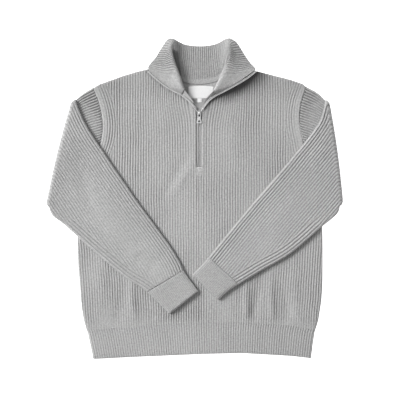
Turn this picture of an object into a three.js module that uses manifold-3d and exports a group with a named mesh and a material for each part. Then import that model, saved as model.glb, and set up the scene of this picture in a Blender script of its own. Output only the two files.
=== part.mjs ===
// Half-zip ribbed sweater lying face up: collar turned out, sleeves folded over the front.
// Millimetres. +X is the right side as seen from above, +Y runs from hem to collar, +Z is up.
// Every knit piece is its own solid; a maker would cut or knit each one and sew it on.
import * as THREE from "three";
import { mergeVertices } from "three/addons/utils/BufferGeometryUtils.js";
import Module from "manifold-3d";

const wasm = await Module();
wasm.setup();

// Cloth levels of the two body layers, and the height of a rib.
const BACK_THICK = 2.6;
const FRONT_INSIDE = 3.6;
const FRONT_VALLEY = 6.7;
const RIB_HEIGHT = 0.9;
const EDGE_ROUND = 8;
const SEAM_GAP = 0.5;

// Ribs on each half of the front, from side seam to placket, and the placket's plain half width.
const RIBS_PER_HALF = 43;
const PLACKET_HALF = 12;

// Body outline at each height: side seams up to the underarm, then the armholes.
const EDGES = [
  { y: -312, left: -269.8, right: 277.9 },
  { y: -240, left: -283.7, right: 292.3 },
  { y: -96, left: -291.4, right: 295.4 },
  { y: 43, left: -286.1, right: 289.9 },
  { y: 82, left: -260.2, right: 265.5 },
  { y: 125, left: -240.5, right: 251.2 },
  { y: 165, left: -231.0, right: 243.5 },
  { y: 210, left: -233.0, right: 240.8 },
  { y: 268, left: -252.5, right: 255.1 },
];
const UNDERARM_Y = 43;
const ARM_TOP_Y = 268;

// Top edge of the front: shoulders, neckline, and the slot for the zip in the middle.
const FRONT_TOP = [
  { x: -252.5, y: 268 },
  { x: -211.7, y: 288 },
  { x: -154.1, y: 307.2 },
  { x: -94.1, y: 319.2 },
  { x: -65.3, y: 290.4 },
  { x: -37.7, y: 264 },
  { x: -26.9, y: 248.4 },
  { x: -16.1, y: 232 },
  { x: -8.5, y: 214 },
  { x: -5.8, y: 198 },
  { x: -5.4, y: 79.7 },
  { x: 5.4, y: 79.7 },
  { x: 5.8, y: 198 },
  { x: 8.5, y: 214 },
  { x: 17, y: 232 },
  { x: 28, y: 246 },
  { x: 42.7, y: 262.8 },
  { x: 69.1, y: 290.4 },
  { x: 97.9, y: 318 },
  { x: 148.3, y: 307.2 },
  { x: 217.9, y: 288 },
  { x: 255.1, y: 268 },
];

// Neckline of the back, from one shoulder's neck point to the other.
const BACK_NECK = [
  { x: -94.1, y: 319.2 },
  { x: -70.1, y: 300 },
  { x: -46.1, y: 283.2 },
  { x: -22.1, y: 276.5 },
  { x: 3.1, y: 275.3 },
  { x: 28.3, y: 278.4 },
  { x: 52.3, y: 285.5 },
  { x: 76.3, y: 300 },
  { x: 97.9, y: 318 },
];

// Seam between body and hem rib, and the hem's lower edge, both sagging towards the sides.
const HEM_SEAM = [
  { x: -269.8, y: -312 },
  { x: -166, y: -305.8 },
  { x: -82, y: -297.6 },
  { x: 2, y: -294 },
  { x: 98, y: -294 },
  { x: 218, y: -301.7 },
  { x: 277.9, y: -312 },
];
const HEM_BOTTOM = [
  { x: -249, y: -380.4 },
  { x: -166, y: -375.6 },
  { x: -82, y: -372 },
  { x: 2, y: -368.4 },
  { x: 98, y: -366 },
  { x: 218, y: -373 },
  { x: 261, y: -378 },
];
const HEM_ROWS = [
  { down: 0, draw: 1 },
  { down: 0.3, draw: 0.962 },
  { down: 1, draw: 0.932 },
];

// Sleeves as flattened tubes. Each row is one ring: upper and lower edge points, how far the sleeve
// has turned over its fold (0 on the table, 180 back over the front) and how much it follows the armhole.
const LEFT_SLEEVE = [
  { ux: -253.4, uy: 268, lx: -287, ly: 43, turn: 0, armhole: 1 },
  { ux: -275, uy: 255, lx: -322, ly: 19, turn: 0, armhole: 0.5 },
  { ux: -295, uy: 238, lx: -357, ly: -7, turn: 0, armhole: 0 },
  { ux: -295, uy: 238, lx: -357, ly: -7, turn: 90, armhole: 0 },
  { ux: -295, uy: 238, lx: -357, ly: -7, turn: 180, armhole: 0 },
  { ux: -270, uy: 180, lx: -350, ly: -34, turn: 180, armhole: 0 },
  { ux: -222, uy: 105, lx: -324, ly: -58, turn: 180, armhole: 0 },
  { ux: -143, uy: -10, lx: -262, ly: -114, turn: 180, armhole: 0 },
  { ux: -74, uy: -104, lx: -178, ly: -185, turn: 180, armhole: 0 },
  { ux: -36.5, uy: -169.5, lx: -125, ly: -213, turn: 180, armhole: 0 },
];
const LEFT_CUFF = [
  { ux: -38.1, uy: -170.9, lx: -119.4, ly: -210.9, turn: 180, armhole: 0 },
  { ux: -30, uy: -182, lx: -108, ly: -224, turn: 180, armhole: 0 },
  { ux: -1.4, uy: -218.4, lx: -70.3, ly: -273.1, turn: 180, armhole: 0 },
];
const RIGHT_SLEEVE = [
  { ux: 256, uy: 268, lx: 290.8, ly: 43, turn: 0, armhole: 1 },
  { ux: 280, uy: 257, lx: 313, ly: 20, turn: 0, armhole: 0.5 },
  { ux: 301, uy: 236, lx: 335, ly: -4, turn: 0, armhole: 0 },
  { ux: 301, uy: 236, lx: 335, ly: -4, turn: 90, armhole: 0 },
  { ux: 301, uy: 236, lx: 335, ly: -4, turn: 180, armhole: 0 },
  { ux: 286, uy: 185, lx: 330, ly: -30, turn: 180, armhole: 0 },
  { ux: 228, uy: 108, lx: 290, ly: -67, turn: 180, armhole: 0 },
  { ux: 148, uy: 15, lx: 218, ly: -129, turn: 180, armhole: 0 },
  { ux: 75, uy: -72, lx: 145, ly: -172, turn: 180, armhole: 0 },
  { ux: 23, uy: -136, lx: 95, ly: -202, turn: 180, armhole: 0 },
];
const RIGHT_CUFF = [
  { ux: 23.8, uy: -137.4, lx: 92.5, ly: -200.4, turn: 180, armhole: 0 },
  { ux: 14, uy: -147.5, lx: 82, ly: -209.5, turn: 180, armhole: 0 },
  { ux: -17, uy: -179.5, lx: 45.6, ly: -239, turn: 180, armhole: 0 },
];
const SLEEVE_HALF = 3.7;
const SLEEVE_HOLLOW_HALF = 0.5;
const SLEEVE_WALL = 3.2;
const SLEEVE_RIBS = 27;
const CUFF_RIBS = 17;
const CUFF_RIB_HEIGHT = 0.5;
const FOLD_AXIS_Z = 8;
const FOLD_RADIUS = 4.3;

// Collar sections, a row each, by distance along the collar from the centre back. Every section runs
// from the neck seam over the soft ridge where the collar turns out, on to its free edge.
const COLLAR = [
  { along: -172, seam: [-41.8, 253.2, 10.2], ridge: [-63, 263.6, 10.4], rest: [-92, 283.3, 10.2], edge: [-122, 311, 10.2] },
  { along: -158, seam: [-36.2, 262.5, 20.5], ridge: [-52, 272.5, 21], rest: [-84, 290, 13], edge: [-121.3, 313.5, 10] },
  { along: -146, seam: [-35.5, 266.5, 9.5], ridge: [-42.5, 281, 25.5], rest: [-76, 299, 15], edge: [-118.5, 319.5, 10] },
  { along: -130, seam: [-39.5, 272, 5.6], ridge: [-48.5, 294, 27.5], rest: [-77, 312, 16], edge: [-112, 331, 10] },
  { along: -112, seam: [-43.5, 277.5, 5.4], ridge: [-54, 308, 28], rest: [-77, 326, 17], edge: [-103, 345.5, 10.2] },
  { along: -95, seam: [-46.5, 281.5, 5.2], ridge: [-58, 321, 28], rest: [-75, 344, 18], edge: [-91, 363, 11] },
  { along: -80, seam: [-47.5, 285, 4.6], ridge: [-60.5, 333, 27.5], rest: [-71, 361, 21], edge: [-79, 380, 14] },
  { along: -70, seam: [-46.5, 286, 3.4], ridge: [-60.5, 341, 25], rest: [-64.5, 366, 23], edge: [-67.4, 387, 19] },
  { along: -61, seam: [-43.5, 285.3, 2.2], ridge: [-56.5, 338, 16], rest: [-58.5, 363, 16], edge: [-59, 385, 15] },
  { along: -50, seam: [-37.5, 283.2, 1.6], ridge: [-46, 333, 5], rest: [-48, 358, 6], edge: [-49.5, 380.5, 6] },
  { along: -36, seam: [-27, 280, 1.6], ridge: [-31.5, 326, 1.8], rest: [-34, 351, 2], edge: [-36, 374.5, 2.2] },
  { along: -18, seam: [-13, 278.2, 1.6], ridge: [-15, 322.5, 1.6], rest: [-16, 346, 1.6], edge: [-17, 369, 1.6] },
  { along: 0, seam: [3, 277.5, 1.6], ridge: [3, 321, 1.6], rest: [3.5, 345, 1.6], edge: [4, 367.2, 1.6] },
  { along: 16, seam: [17.5, 279, 1.6], ridge: [18.5, 322.5, 1.6], rest: [19, 346, 1.6], edge: [20, 369, 1.6] },
  { along: 33, seam: [30.5, 281.6, 1.6], ridge: [34, 327, 1.8], rest: [36, 351, 2], edge: [38, 374.5, 2.2] },
  { along: 48, seam: [41.5, 285, 1.6], ridge: [50, 334, 5], rest: [52, 358, 6], edge: [52.5, 380.5, 6] },
  { along: 60, seam: [48.5, 288.5, 2.2], ridge: [62, 339, 16], rest: [63.5, 364, 16], edge: [63.5, 386.2, 15] },
  { along: 70, seam: [51.5, 289.5, 3.4], ridge: [67, 342, 25], rest: [70.5, 367, 23], edge: [72.7, 387.4, 19] },
  { along: 80, seam: [52.5, 287.5, 4.6], ridge: [67.5, 334, 27.5], rest: [77, 361, 21], edge: [84.5, 380.5, 14] },
  { along: 95, seam: [51.5, 283, 5.2], ridge: [65, 321, 28], rest: [81, 343, 18], edge: [97.5, 360.5, 11] },
  { along: 112, seam: [47, 278, 5.4], ridge: [60.5, 307, 28], rest: [83, 325, 17], edge: [109.5, 340.5, 10.2] },
  { along: 130, seam: [42.5, 271.5, 5.6], ridge: [53.5, 292, 27.5], rest: [84, 310, 16], edge: [120, 324.5, 10] },
  { along: 146, seam: [36.5, 265.5, 9.5], ridge: [46.5, 279, 25.5], rest: [83, 298, 15], edge: [127.5, 317, 10] },
  { along: 158, seam: [34.5, 260.5, 20.5], ridge: [51, 271, 21], rest: [88, 291, 13], edge: [130.4, 313, 10] },
  { along: 172, seam: [38.4, 253.8, 10.2], ridge: [61, 265, 10.4], rest: [92, 281.5, 10.2], edge: [131.3, 310.6, 10.2] },
];
const SECTION_KNOTS = { seam: 0, ridge: 0.36, rest: 0.66, edge: 1 };
const COLLAR_HALF = 1.6;
const COLLAR_RIBS = 70;
const COLLAR_RIB_HEIGHT = 0.6;
const COLLAR_ROWS = [0, 0.13, 0.24, 0.36, 0.48, 0.66, 1];
const COLLAR_PLAIN_END = 26;
const COLLAR_PLAIN_FOOT = 0.13;

// Plain facings that line the zip between neck seam and slider, turned out with the collar.
const LEFT_FACING = [
  { zip: [-41, 253.1, 10.2], ridge: [-35.2, 261.9, 20.3], foot: [-31.5, 259, 12.5] },
  { zip: [-24.9, 242, 10.1], ridge: [-22, 246.3, 15], foot: [-19.6, 243.6, 10.4] },
  { zip: [-14.6, 232, 9.8], ridge: [-13.1, 233.6, 11], foot: [-11.8, 231.8, 9.8] },
];
const RIGHT_FACING = [
  { zip: [37.4, 253.6, 10.2], ridge: [33.2, 259.9, 20.3], foot: [30, 257, 12.5] },
  { zip: [20.9, 242, 10.1], ridge: [19.2, 245.4, 15], foot: [17.3, 243, 10.4] },
  { zip: [12.4, 232, 9.8], ridge: [11.2, 233.6, 11], foot: [10, 231.8, 9.8] },
];
const FACING_HALF = 1;

// Centre line of each row of zip teeth, from the zip's lower end to the collar corner.
const LEFT_TEETH = [
  [-1.3, 80.6, 6.7],
  [-1.3, 203, 6.7],
  [-3.4, 210, 7.1],
  [-5.6, 213.5, 7.7],
  [-9.5, 218.5, 9],
  [-14.4, 224.2, 9.4],
  [-28.3, 238.1, 9.4],
  [-44.4, 249.6, 9.4],
  [-62.9, 258.7, 9.4],
  [-85.7, 272.4, 9.4],
  [-110.9, 293.3, 9.4],
  [-123.6, 305.8, 9.4],
];
const RIGHT_TEETH = [
  [1.3, 80.6, 6.7],
  [1.3, 203, 6.7],
  [3.4, 210, 7.1],
  [5.6, 213.5, 7.7],
  [9.5, 219, 9],
  [13.4, 224.2, 9.4],
  [24.5, 238.1, 9.4],
  [40.6, 249.6, 9.4],
  [63.6, 261.1, 9.4],
  [93.4, 277.2, 9.4],
  [118.8, 293.3, 9.4],
  [133.7, 307, 9.4],
];
// Centre line of each tape: beside its teeth, except where it turns over under the slider.
const LEFT_TAPE = [
  [-3.95, 80.6, 6.7],
  [-3.95, 198, 6.7],
  [-3.95, 202, 4.7],
  [-3.6, 210, 4.7],
  [-4.9, 214.3, 4.9],
  [-6.4, 218.6, 6],
  [-8.6, 222.4, 9.2],
  [-12.5, 226, 9.4],
  [-26.6, 240.1, 9.4],
  [-43, 251.9, 9.4],
  [-61.6, 261, 9.4],
  [-84.2, 274.5, 9.4],
  [-109.2, 295.3, 9.4],
  [-121.7, 307.7, 9.4],
];
const RIGHT_TAPE = [
  [3.95, 80.6, 6.7],
  [3.95, 198, 6.7],
  [3.95, 202, 4.7],
  [3.6, 210, 4.7],
  [4.9, 214.3, 4.9],
  [6.4, 218.6, 6],
  [8, 222.4, 9.2],
  [11.5, 226, 9.4],
  [22.7, 240, 9.4],
  [39.2, 251.9, 9.4],
  [62.4, 263.5, 9.4],
  [92.1, 279.5, 9.4],
  [117.2, 295.4, 9.4],
  [131.9, 309, 9.4],
];
const TEETH_WIDE = 2;
const TEETH_THICK = 2.2;
const TAPE_WIDE = 2.6;
const TAPE_THICK = 1.2;

// Slider and pull tab. The tab droops from its hinge so that its end lies on the cloth.
const SLIDER = { y: 207, half_wide: 5.2, half_long: 7.6, top_half_wide: 6, plate: 1.3, bottom_z: 3, top_z: 9.5 };
const BRIDGE = { half_wide: 1.5, back_y: 211.4, front_y: 202.6, post: 1.8, under_z: 13.9, bar: 1.3 };
const HINGE = { y: 206.4, z: 12.6, droop: 5 };
const PULL = { thick: 1.6, ring_half: 3.4, window_half: 2.1, top_y: 207.2, window_low_y: 199.6, bar: 1.6 };
const PULL_SIDE = [
  { y: 199, half: 3.4 },
  { y: 195, half: 3.1 },
  { y: 190, half: 5.4 },
  { y: 187, half: 6.3 },
  { y: 184.6, half: 6 },
  { y: 183.6, half: 4.8 },
];
const PULL_HOLE = { y: 188.8, half_x: 2.7, half_y: 1.7 };

// Woven neck label, its size tab, and the stitched bar that closes the zip's lower end.
const LABEL = { x: 4.6, y: 259.2, wide: 61, tall: 28.6, dome: 2.2, z: 2.9, thick: 0.4 };
const SIZE_TAB = { x: 1, y: 239.4, wide: 10.4, tall: 9.8, z: 2.9, thick: 0.4 };
const END_BAR = { x: 1, y: 77.6, wide: 15, tall: 3, bend: 1.6, z: 7.1, thick: 1.5 };

function knitMaterial() {
  return new THREE.MeshStandardMaterial({ color: 0xb0b1b1, roughness: 0.95, metalness: 0 });
}

function facingMaterial() {
  return new THREE.MeshStandardMaterial({ color: 0xb4b5b5, roughness: 0.95, metalness: 0 });
}

function tapeMaterial() {
  return new THREE.MeshStandardMaterial({ color: 0x9a9b9b, roughness: 0.9, metalness: 0 });
}

function metalMaterial() {
  return new THREE.MeshStandardMaterial({ color: 0xd2d3d4, roughness: 0.3, metalness: 1 });
}

function labelMaterial() {
  return new THREE.MeshStandardMaterial({ color: 0xeceded, roughness: 0.85, metalness: 0 });
}

function blend(a, b, share) {
  return a + (b - a) * share;
}

function valueAt(rows, from, to, at) {
  let i = 1;
  while (i < rows.length - 1 && rows[i][from] < at) {
    i += 1;
  }
  const low = rows[i - 1];
  const high = rows[i];
  return blend(low[to], high[to], (at - low[from]) / (high[from] - low[from]));
}

function smoothAt(knots, points, at) {
  let i = 0;
  while (i < knots.length - 2 && knots[i + 1] < at) {
    i += 1;
  }
  const span = knots[i + 1] - knots[i];
  const t = (at - knots[i]) / span;
  const slope = (k, c) => {
    const before = Math.max(k - 1, 0);
    const after = Math.min(k + 1, knots.length - 1);
    return (points[after][c] - points[before][c]) / (knots[after] - knots[before]);
  };
  const startShare = 2 * t ** 3 - 3 * t ** 2 + 1;
  const endShare = 3 * t ** 2 - 2 * t ** 3;
  const startPull = (t ** 3 - 2 * t ** 2 + t) * span;
  const endPull = (t ** 3 - t ** 2) * span;
  return [0, 1, 2].map(
    (c) =>
      points[i][c] * startShare +
      points[i + 1][c] * endShare +
      slope(i, c) * startPull +
      slope(i + 1, c) * endPull,
  );
}

function roundEdge(distance, radius) {
  const inside = Math.min(1, Math.max(0, distance / radius));
  return Math.sqrt(1 - (1 - inside) ** 2);
}

function meshGeometry(points, faces) {
  let volume = 0;
  for (const [a, b, c] of faces) {
    const [p, q, r] = [points[a], points[b], points[c]];
    volume +=
      p[0] * (q[1] * r[2] - q[2] * r[1]) -
      p[1] * (q[0] * r[2] - q[2] * r[0]) +
      p[2] * (q[0] * r[1] - q[1] * r[0]);
  }
  const index = volume > 0 ? faces.flat() : faces.flatMap(([a, b, c]) => [a, c, b]);
  const geometry = new THREE.BufferGeometry();
  geometry.setAttribute("position", new THREE.Float32BufferAttribute(points.flat(), 3));
  geometry.setIndex(index);
  geometry.computeVertexNormals();
  return geometry;
}

// A wall between an outer grid and a sparser inner grid. match[k] is the outer column that inner
// column k stands behind; closed walls join their last column to their first.
function wallGeometry(outer, inner, match, closed) {
  const points = [...outer.flat(), ...inner.flat()];
  const wide = outer[0].length;
  const innerWide = inner[0].length;
  const rows = outer.length;
  const out = (r, c) => r * wide + (c % wide);
  const inn = (r, k) => rows * wide + r * innerWide + (k % innerWide);
  const faces = [];
  const quad = (a, b, c, d) => faces.push([a, b, c], [a, c, d]);
  for (let r = 0; r < rows - 1; r += 1) {
    for (let c = 0; c < (closed ? wide : wide - 1); c += 1) {
      quad(out(r, c), out(r, c + 1), out(r + 1, c + 1), out(r + 1, c));
    }
    for (let k = 0; k < (closed ? innerWide : innerWide - 1); k += 1) {
      quad(inn(r, k), inn(r + 1, k), inn(r + 1, k + 1), inn(r, k + 1));
    }
    if (!closed) {
      quad(out(r, 0), out(r + 1, 0), inn(r + 1, 0), inn(r, 0));
      quad(out(r, wide - 1), inn(r, innerWide - 1), inn(r + 1, innerWide - 1), out(r + 1, wide - 1));
    }
  }
  for (let k = 0; k < (closed ? innerWide : innerWide - 1); k += 1) {
    const from = match[k];
    const to = k + 1 < innerWide ? match[k + 1] : wide;
    const last = rows - 1;
    for (let c = from; c < to; c += 1) {
      faces.push([inn(0, k), out(0, c + 1), out(0, c)]);
      faces.push([inn(last, k), out(last, c), out(last, c + 1)]);
    }
    faces.push([inn(0, k), inn(0, k + 1), out(0, to)]);
    faces.push([inn(last, k), out(last, to), inn(last, k + 1)]);
  }
  return meshGeometry(points, faces);
}

// A solid bar through a list of rings with the same number of points, its ends closed by fans.
function barGeometry(rings) {
  const wide = rings[0].length;
  const faces = [];
  for (let r = 0; r < rings.length - 1; r += 1) {
    for (let c = 0; c < wide; c += 1) {
      const next = (c + 1) % wide;
      faces.push([r * wide + c, r * wide + next, (r + 1) * wide + next]);
      faces.push([r * wide + c, (r + 1) * wide + next, (r + 1) * wide + c]);
    }
  }
  const end = (rings.length - 1) * wide;
  for (let c = 1; c < wide - 1; c += 1) {
    faces.push([0, c + 1, c]);
    faces.push([end, end + c, end + c + 1]);
  }
  return meshGeometry(rings.flat(), faces);
}

function plate(corners, z, thick) {
  const shape = new THREE.Shape(corners.map(([x, y]) => new THREE.Vector2(x, y)));
  const geometry = new THREE.ExtrudeGeometry(shape, { depth: thick, bevelEnabled: false });
  geometry.translate(0, 0, z);
  return geometry;
}

function toSolid(geometry) {
  const bare = geometry.clone();
  bare.deleteAttribute("normal");
  bare.deleteAttribute("uv");
  const merged = mergeVertices(bare, 1e-4);
  const vertProperties = new Float32Array(merged.getAttribute("position").array);
  const triVerts = new Uint32Array(merged.getIndex().array);
  return new wasm.Manifold(new wasm.Mesh({ numProp: 3, vertProperties, triVerts }));
}

function blockAt(x, y, low, high, halfX, halfY) {
  const block = new THREE.BoxGeometry(2 * halfX, 2 * halfY, high - low);
  return toSolid(block.translate(x, y, (low + high) / 2));
}

function toGeometry(solid) {
  const mesh = solid.getMesh();
  const geometry = new THREE.BufferGeometry();
  const places = new Float32Array(mesh.numVert * 3);
  for (let i = 0; i < mesh.numVert; i += 1) {
    for (let c = 0; c < 3; c += 1) {
      places[i * 3 + c] = mesh.vertProperties[i * mesh.numProp + c];
    }
  }
  geometry.setAttribute("position", new THREE.BufferAttribute(places, 3));
  geometry.setIndex(Array.from(mesh.triVerts));
  geometry.computeVertexNormals();
  return geometry;
}

// Columns of the front from the left side seam to the right one: two for each rib, then the plain
// placket strips on both sides of the zip slot.
function frontColumns() {
  const steps = 2 * RIBS_PER_HALF;
  const half = (side) =>
    Array.from({ length: steps + 1 }, (_, i) => ({
      side,
      share: i / steps,
      steps: i,
      crest: i % 2 === 1,
      keep: i % 8 === 0 || i === steps,
    }));
  const plain = [-8.5, -5.8, -5.4, 5.4, 5.8, 8.5].map((x) => ({ x, crest: false, keep: true }));
  return [...half("left"), ...plain, ...half("right").reverse()];
}

function columnX(column, y) {
  if (column.x !== undefined) {
    return column.x;
  }
  const inner = column.side === "left" ? -PLACKET_HALF : PLACKET_HALF;
  return blend(valueAt(EDGES, "y", column.side, y), inner, column.share);
}

function columnTop(column) {
  let y = ARM_TOP_Y;
  for (let i = 0; i < 40; i += 1) {
    y = blend(y, valueAt(FRONT_TOP, "x", "y", columnX(column, y)), 0.5);
  }
  return y;
}

function frontHeight(column) {
  const edge = column.steps === undefined ? 1 : roundEdge(column.steps * 3.1, EDGE_ROUND);
  const low = FRONT_INSIDE + 1;
  return blend(low, FRONT_VALLEY, edge) + (column.crest ? RIB_HEIGHT * edge : 0);
}

function frontPanel() {
  const columns = frontColumns();
  const [low, high] = [EDGES[0].y, ARM_TOP_Y];
  const rows = EDGES.map((row) => (row.y - low) / (high - low));
  const place = (column, share, z) => {
    const bottom = valueAt(HEM_SEAM, "x", "y", columnX(column, low));
    const y = blend(bottom, columnTop(column), share);
    return [columnX(column, y), y, z];
  };
  const kept = columns.filter((column) => column.keep);
  const outer = rows.map((share) => columns.map((column) => place(column, share, frontHeight(column))));
  const inner = rows.map((share) => kept.map((column) => place(column, share, FRONT_INSIDE)));
  const match = kept.map((column) => columns.indexOf(column));
  return wallGeometry(outer, inner, match, false);
}

function frontHem() {
  const columns = frontColumns().filter((column) => column.x === undefined || Math.abs(column.x) > 6);
  const place = (column, row, z) => {
    const topX = columnX(column, EDGES[0].y);
    const top = valueAt(HEM_SEAM, "x", "y", topX) - SEAM_GAP;
    const x = topX * row.draw;
    const bottom = valueAt(HEM_BOTTOM, "x", "y", topX * HEM_ROWS[HEM_ROWS.length - 1].draw);
    return [x, blend(top, bottom, row.down), z];
  };
  const kept = columns.filter((column) => column.keep);
  const outer = HEM_ROWS.map((row) => columns.map((column) => place(column, row, frontHeight(column))));
  const inner = HEM_ROWS.map((row) => kept.map((column) => place(column, row, FRONT_INSIDE)));
  return wallGeometry(outer, inner, kept.map((column) => columns.indexOf(column)), false);
}

function backPanel() {
  const corners = [];
  HEM_SEAM.forEach((row) => corners.push([row.x, row.y]));
  EDGES.slice(1).forEach((row) => corners.push([row.right, row.y]));
  FRONT_TOP.filter((row) => row.x > 98 && row.x < 250).reverse().forEach((row) => corners.push([row.x, row.y]));
  [...BACK_NECK].reverse().forEach((row) => corners.push([row.x, row.y]));
  FRONT_TOP.filter((row) => row.x < -98 && row.x > -250).reverse().forEach((row) => corners.push([row.x, row.y]));
  [...EDGES].slice(1).reverse().forEach((row) => corners.push([row.left, row.y]));
  return plate(corners, 0, BACK_THICK);
}

function backHem() {
  const top = HEM_SEAM.map((row) => [row.x, row.y - SEAM_GAP]);
  const draw = HEM_ROWS[1].draw;
  const right = [277.9 * draw, -332];
  const left = [-269.8 * draw, -332];
  const bottom = HEM_BOTTOM.map((row) => [row.x, row.y]).reverse();
  return plate([...top, right, ...bottom, left], 0, BACK_THICK);
}

// How far the armhole bends in from its straight chord, at a share of the way down it.
function armholeBend(side, share) {
  const y = blend(ARM_TOP_Y, UNDERARM_Y, share);
  const chord = blend(
    valueAt(EDGES, "y", side, ARM_TOP_Y),
    valueAt(EDGES, "y", side, UNDERARM_Y),
    share,
  );
  return valueAt(EDGES, "y", side, y) - chord;
}

function ringPoints(row, side, ribs, ribHeight, hollow, perRib) {
  const inward = side === "left" ? 1 : -1;
  const long = Math.hypot(row.lx - row.ux, row.ly - row.uy);
  const acrossX = ((row.uy - row.ly) / long) * inward;
  const acrossY = ((row.lx - row.ux) / long) * inward;
  const turn = THREE.MathUtils.degToRad(row.turn);
  const steps = ribs * perRib;
  const half = hollow ? SLEEVE_HOLLOW_HALF : SLEEVE_HALF;
  const points = [];
  for (let i = 0; i < 2 * steps; i += 1) {
    const front = i <= steps;
    const whole = front ? i / steps : (2 * steps - i) / steps;
    const share = hollow ? blend(SLEEVE_WALL / long, 1 - SLEEVE_WALL / long, whole) : whole;
    const edge = roundEdge(Math.min(whole, 1 - whole) * long, hollow ? 3 : 7);
    const hidden = !front && row.turn < 90;
    const valley = !hollow && !hidden && i % 2 === 0 ? ribHeight : 0;
    const rise = (half - valley) * edge * (front ? 1 : -1);
    const reach = -FOLD_RADIUS * Math.sin(turn) + rise * Math.sin(turn);
    const bend = row.armhole * armholeBend(side, share);
    points.push([
      blend(row.ux, row.lx, share) + acrossX * reach + bend,
      blend(row.uy, row.ly, share) + acrossY * reach,
      FOLD_AXIS_Z - FOLD_RADIUS * Math.cos(turn) + rise * Math.cos(turn),
    ]);
  }
  return points;
}

function sleeveTube(rows, side, ribs, ribHeight) {
  const outer = rows.map((row) => ringPoints(row, side, ribs, ribHeight, false, 2));
  const coarse = Math.floor(ribs / 3);
  const inner = rows.map((row) => ringPoints(row, side, coarse, 0, true, 1));
  const match = inner[0].map((_, k) => Math.round((k / (2 * coarse)) * 4 * ribs));
  return wallGeometry(outer, inner, match, true);
}

function collarPoint(along, up) {
  const knots = COLLAR.map((row) => row.along);
  const names = ["seam", "ridge", "rest", "edge"];
  const section = names.map((name) => smoothAt(knots, COLLAR.map((row) => row[name]), along));
  return smoothAt(names.map((name) => SECTION_KNOTS[name]), section, up);
}

function collarNormal(along, up) {
  const [first, last] = [COLLAR[0].along, COLLAR[COLLAR.length - 1].along];
  const side = (from, to, at) => collarPoint(Math.min(last, Math.max(first, at + from)), to);
  const a = new THREE.Vector3(...side(-2, up, along));
  const b = new THREE.Vector3(...side(2, up, along));
  const c = new THREE.Vector3(...side(0, Math.max(0, up - 0.03), along));
  const d = new THREE.Vector3(...side(0, Math.min(1, up + 0.03), along));
  return b.sub(a).cross(d.sub(c)).normalize();
}

function collar() {
  const [first, last] = [COLLAR[0].along, COLLAR[COLLAR.length - 1].along];
  const steps = 2 * COLLAR_RIBS;
  const grid = (columns, face, ribbed) =>
    COLLAR_ROWS.map((up) =>
      columns.map((i) => {
        const along = blend(first, last, i / steps);
        const plain = Math.min(along - first, last - along) < COLLAR_PLAIN_END || up <= COLLAR_PLAIN_FOOT;
        const valley = ribbed && !plain && i % 2 === 0 ? COLLAR_RIB_HEIGHT : 0;
        const normal = collarNormal(along, up);
        const point = collarPoint(along, up);
        const at = point.map((v, c) => v + face * (COLLAR_HALF - valley) * normal.getComponent(c));
        return [at[0], at[1], Math.max(0, at[2])];
      }),
    );
  const fine = Array.from({ length: steps + 1 }, (_, i) => i);
  const coarse = fine.filter((i) => i % 4 === 0);
  return wallGeometry(grid(fine, 1, true), grid(coarse, -1, false), coarse, false);
}

function facing(rows) {
  const layer = (lift) => rows.map((row) => [row.zip, row.ridge, row.foot].map(([x, y, z]) => [x, y, z + lift]));
  return wallGeometry(layer(FACING_HALF), layer(-FACING_HALF), [0, 1, 2], false);
}

// A flat strip along a path, with a width and a thickness.
function strip(path, wide, thick) {
  const rings = path.map((point, i) => {
    const before = path[Math.max(0, i - 1)];
    const after = path[Math.min(path.length - 1, i + 1)];
    const long = Math.hypot(after[0] - before[0], after[1] - before[1]);
    const sideX = -(after[1] - before[1]) / long;
    const sideY = (after[0] - before[0]) / long;
    const at = (across, lift) => [
      point[0] + sideX * across,
      point[1] + sideY * across,
      point[2] + lift,
    ];
    return [at(-wide / 2, -thick / 2), at(wide / 2, -thick / 2), at(wide / 2, thick / 2), at(-wide / 2, thick / 2)];
  });
  return barGeometry(rings);
}

function slider() {
  const s = SLIDER;
  const bottom = blockAt(0, s.y, s.bottom_z, s.bottom_z + 0.7, s.half_wide, s.half_long);
  const top = blockAt(0, s.y, s.top_z, s.top_z + s.plate, s.top_half_wide, s.half_long);
  const nose = blockAt(0, s.y + s.half_long - 1.7, s.bottom_z, s.top_z + 0.5, 1, 1.4);
  const barTop = BRIDGE.under_z + BRIDGE.bar;
  const back = blockAt(0, BRIDGE.back_y, s.top_z + 0.5, barTop, BRIDGE.half_wide, BRIDGE.post / 2);
  const front = blockAt(0, BRIDGE.front_y, s.top_z + 0.5, barTop, BRIDGE.half_wide, BRIDGE.post / 2);
  const middle = (BRIDGE.back_y + BRIDGE.front_y) / 2;
  const halfSpan = (BRIDGE.back_y - BRIDGE.front_y) / 2;
  const bar = blockAt(0, middle, BRIDGE.under_z, barTop, BRIDGE.half_wide, halfSpan);
  return toGeometry([top, nose, back, front, bar].reduce((solid, piece) => solid.add(piece), bottom));
}

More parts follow.
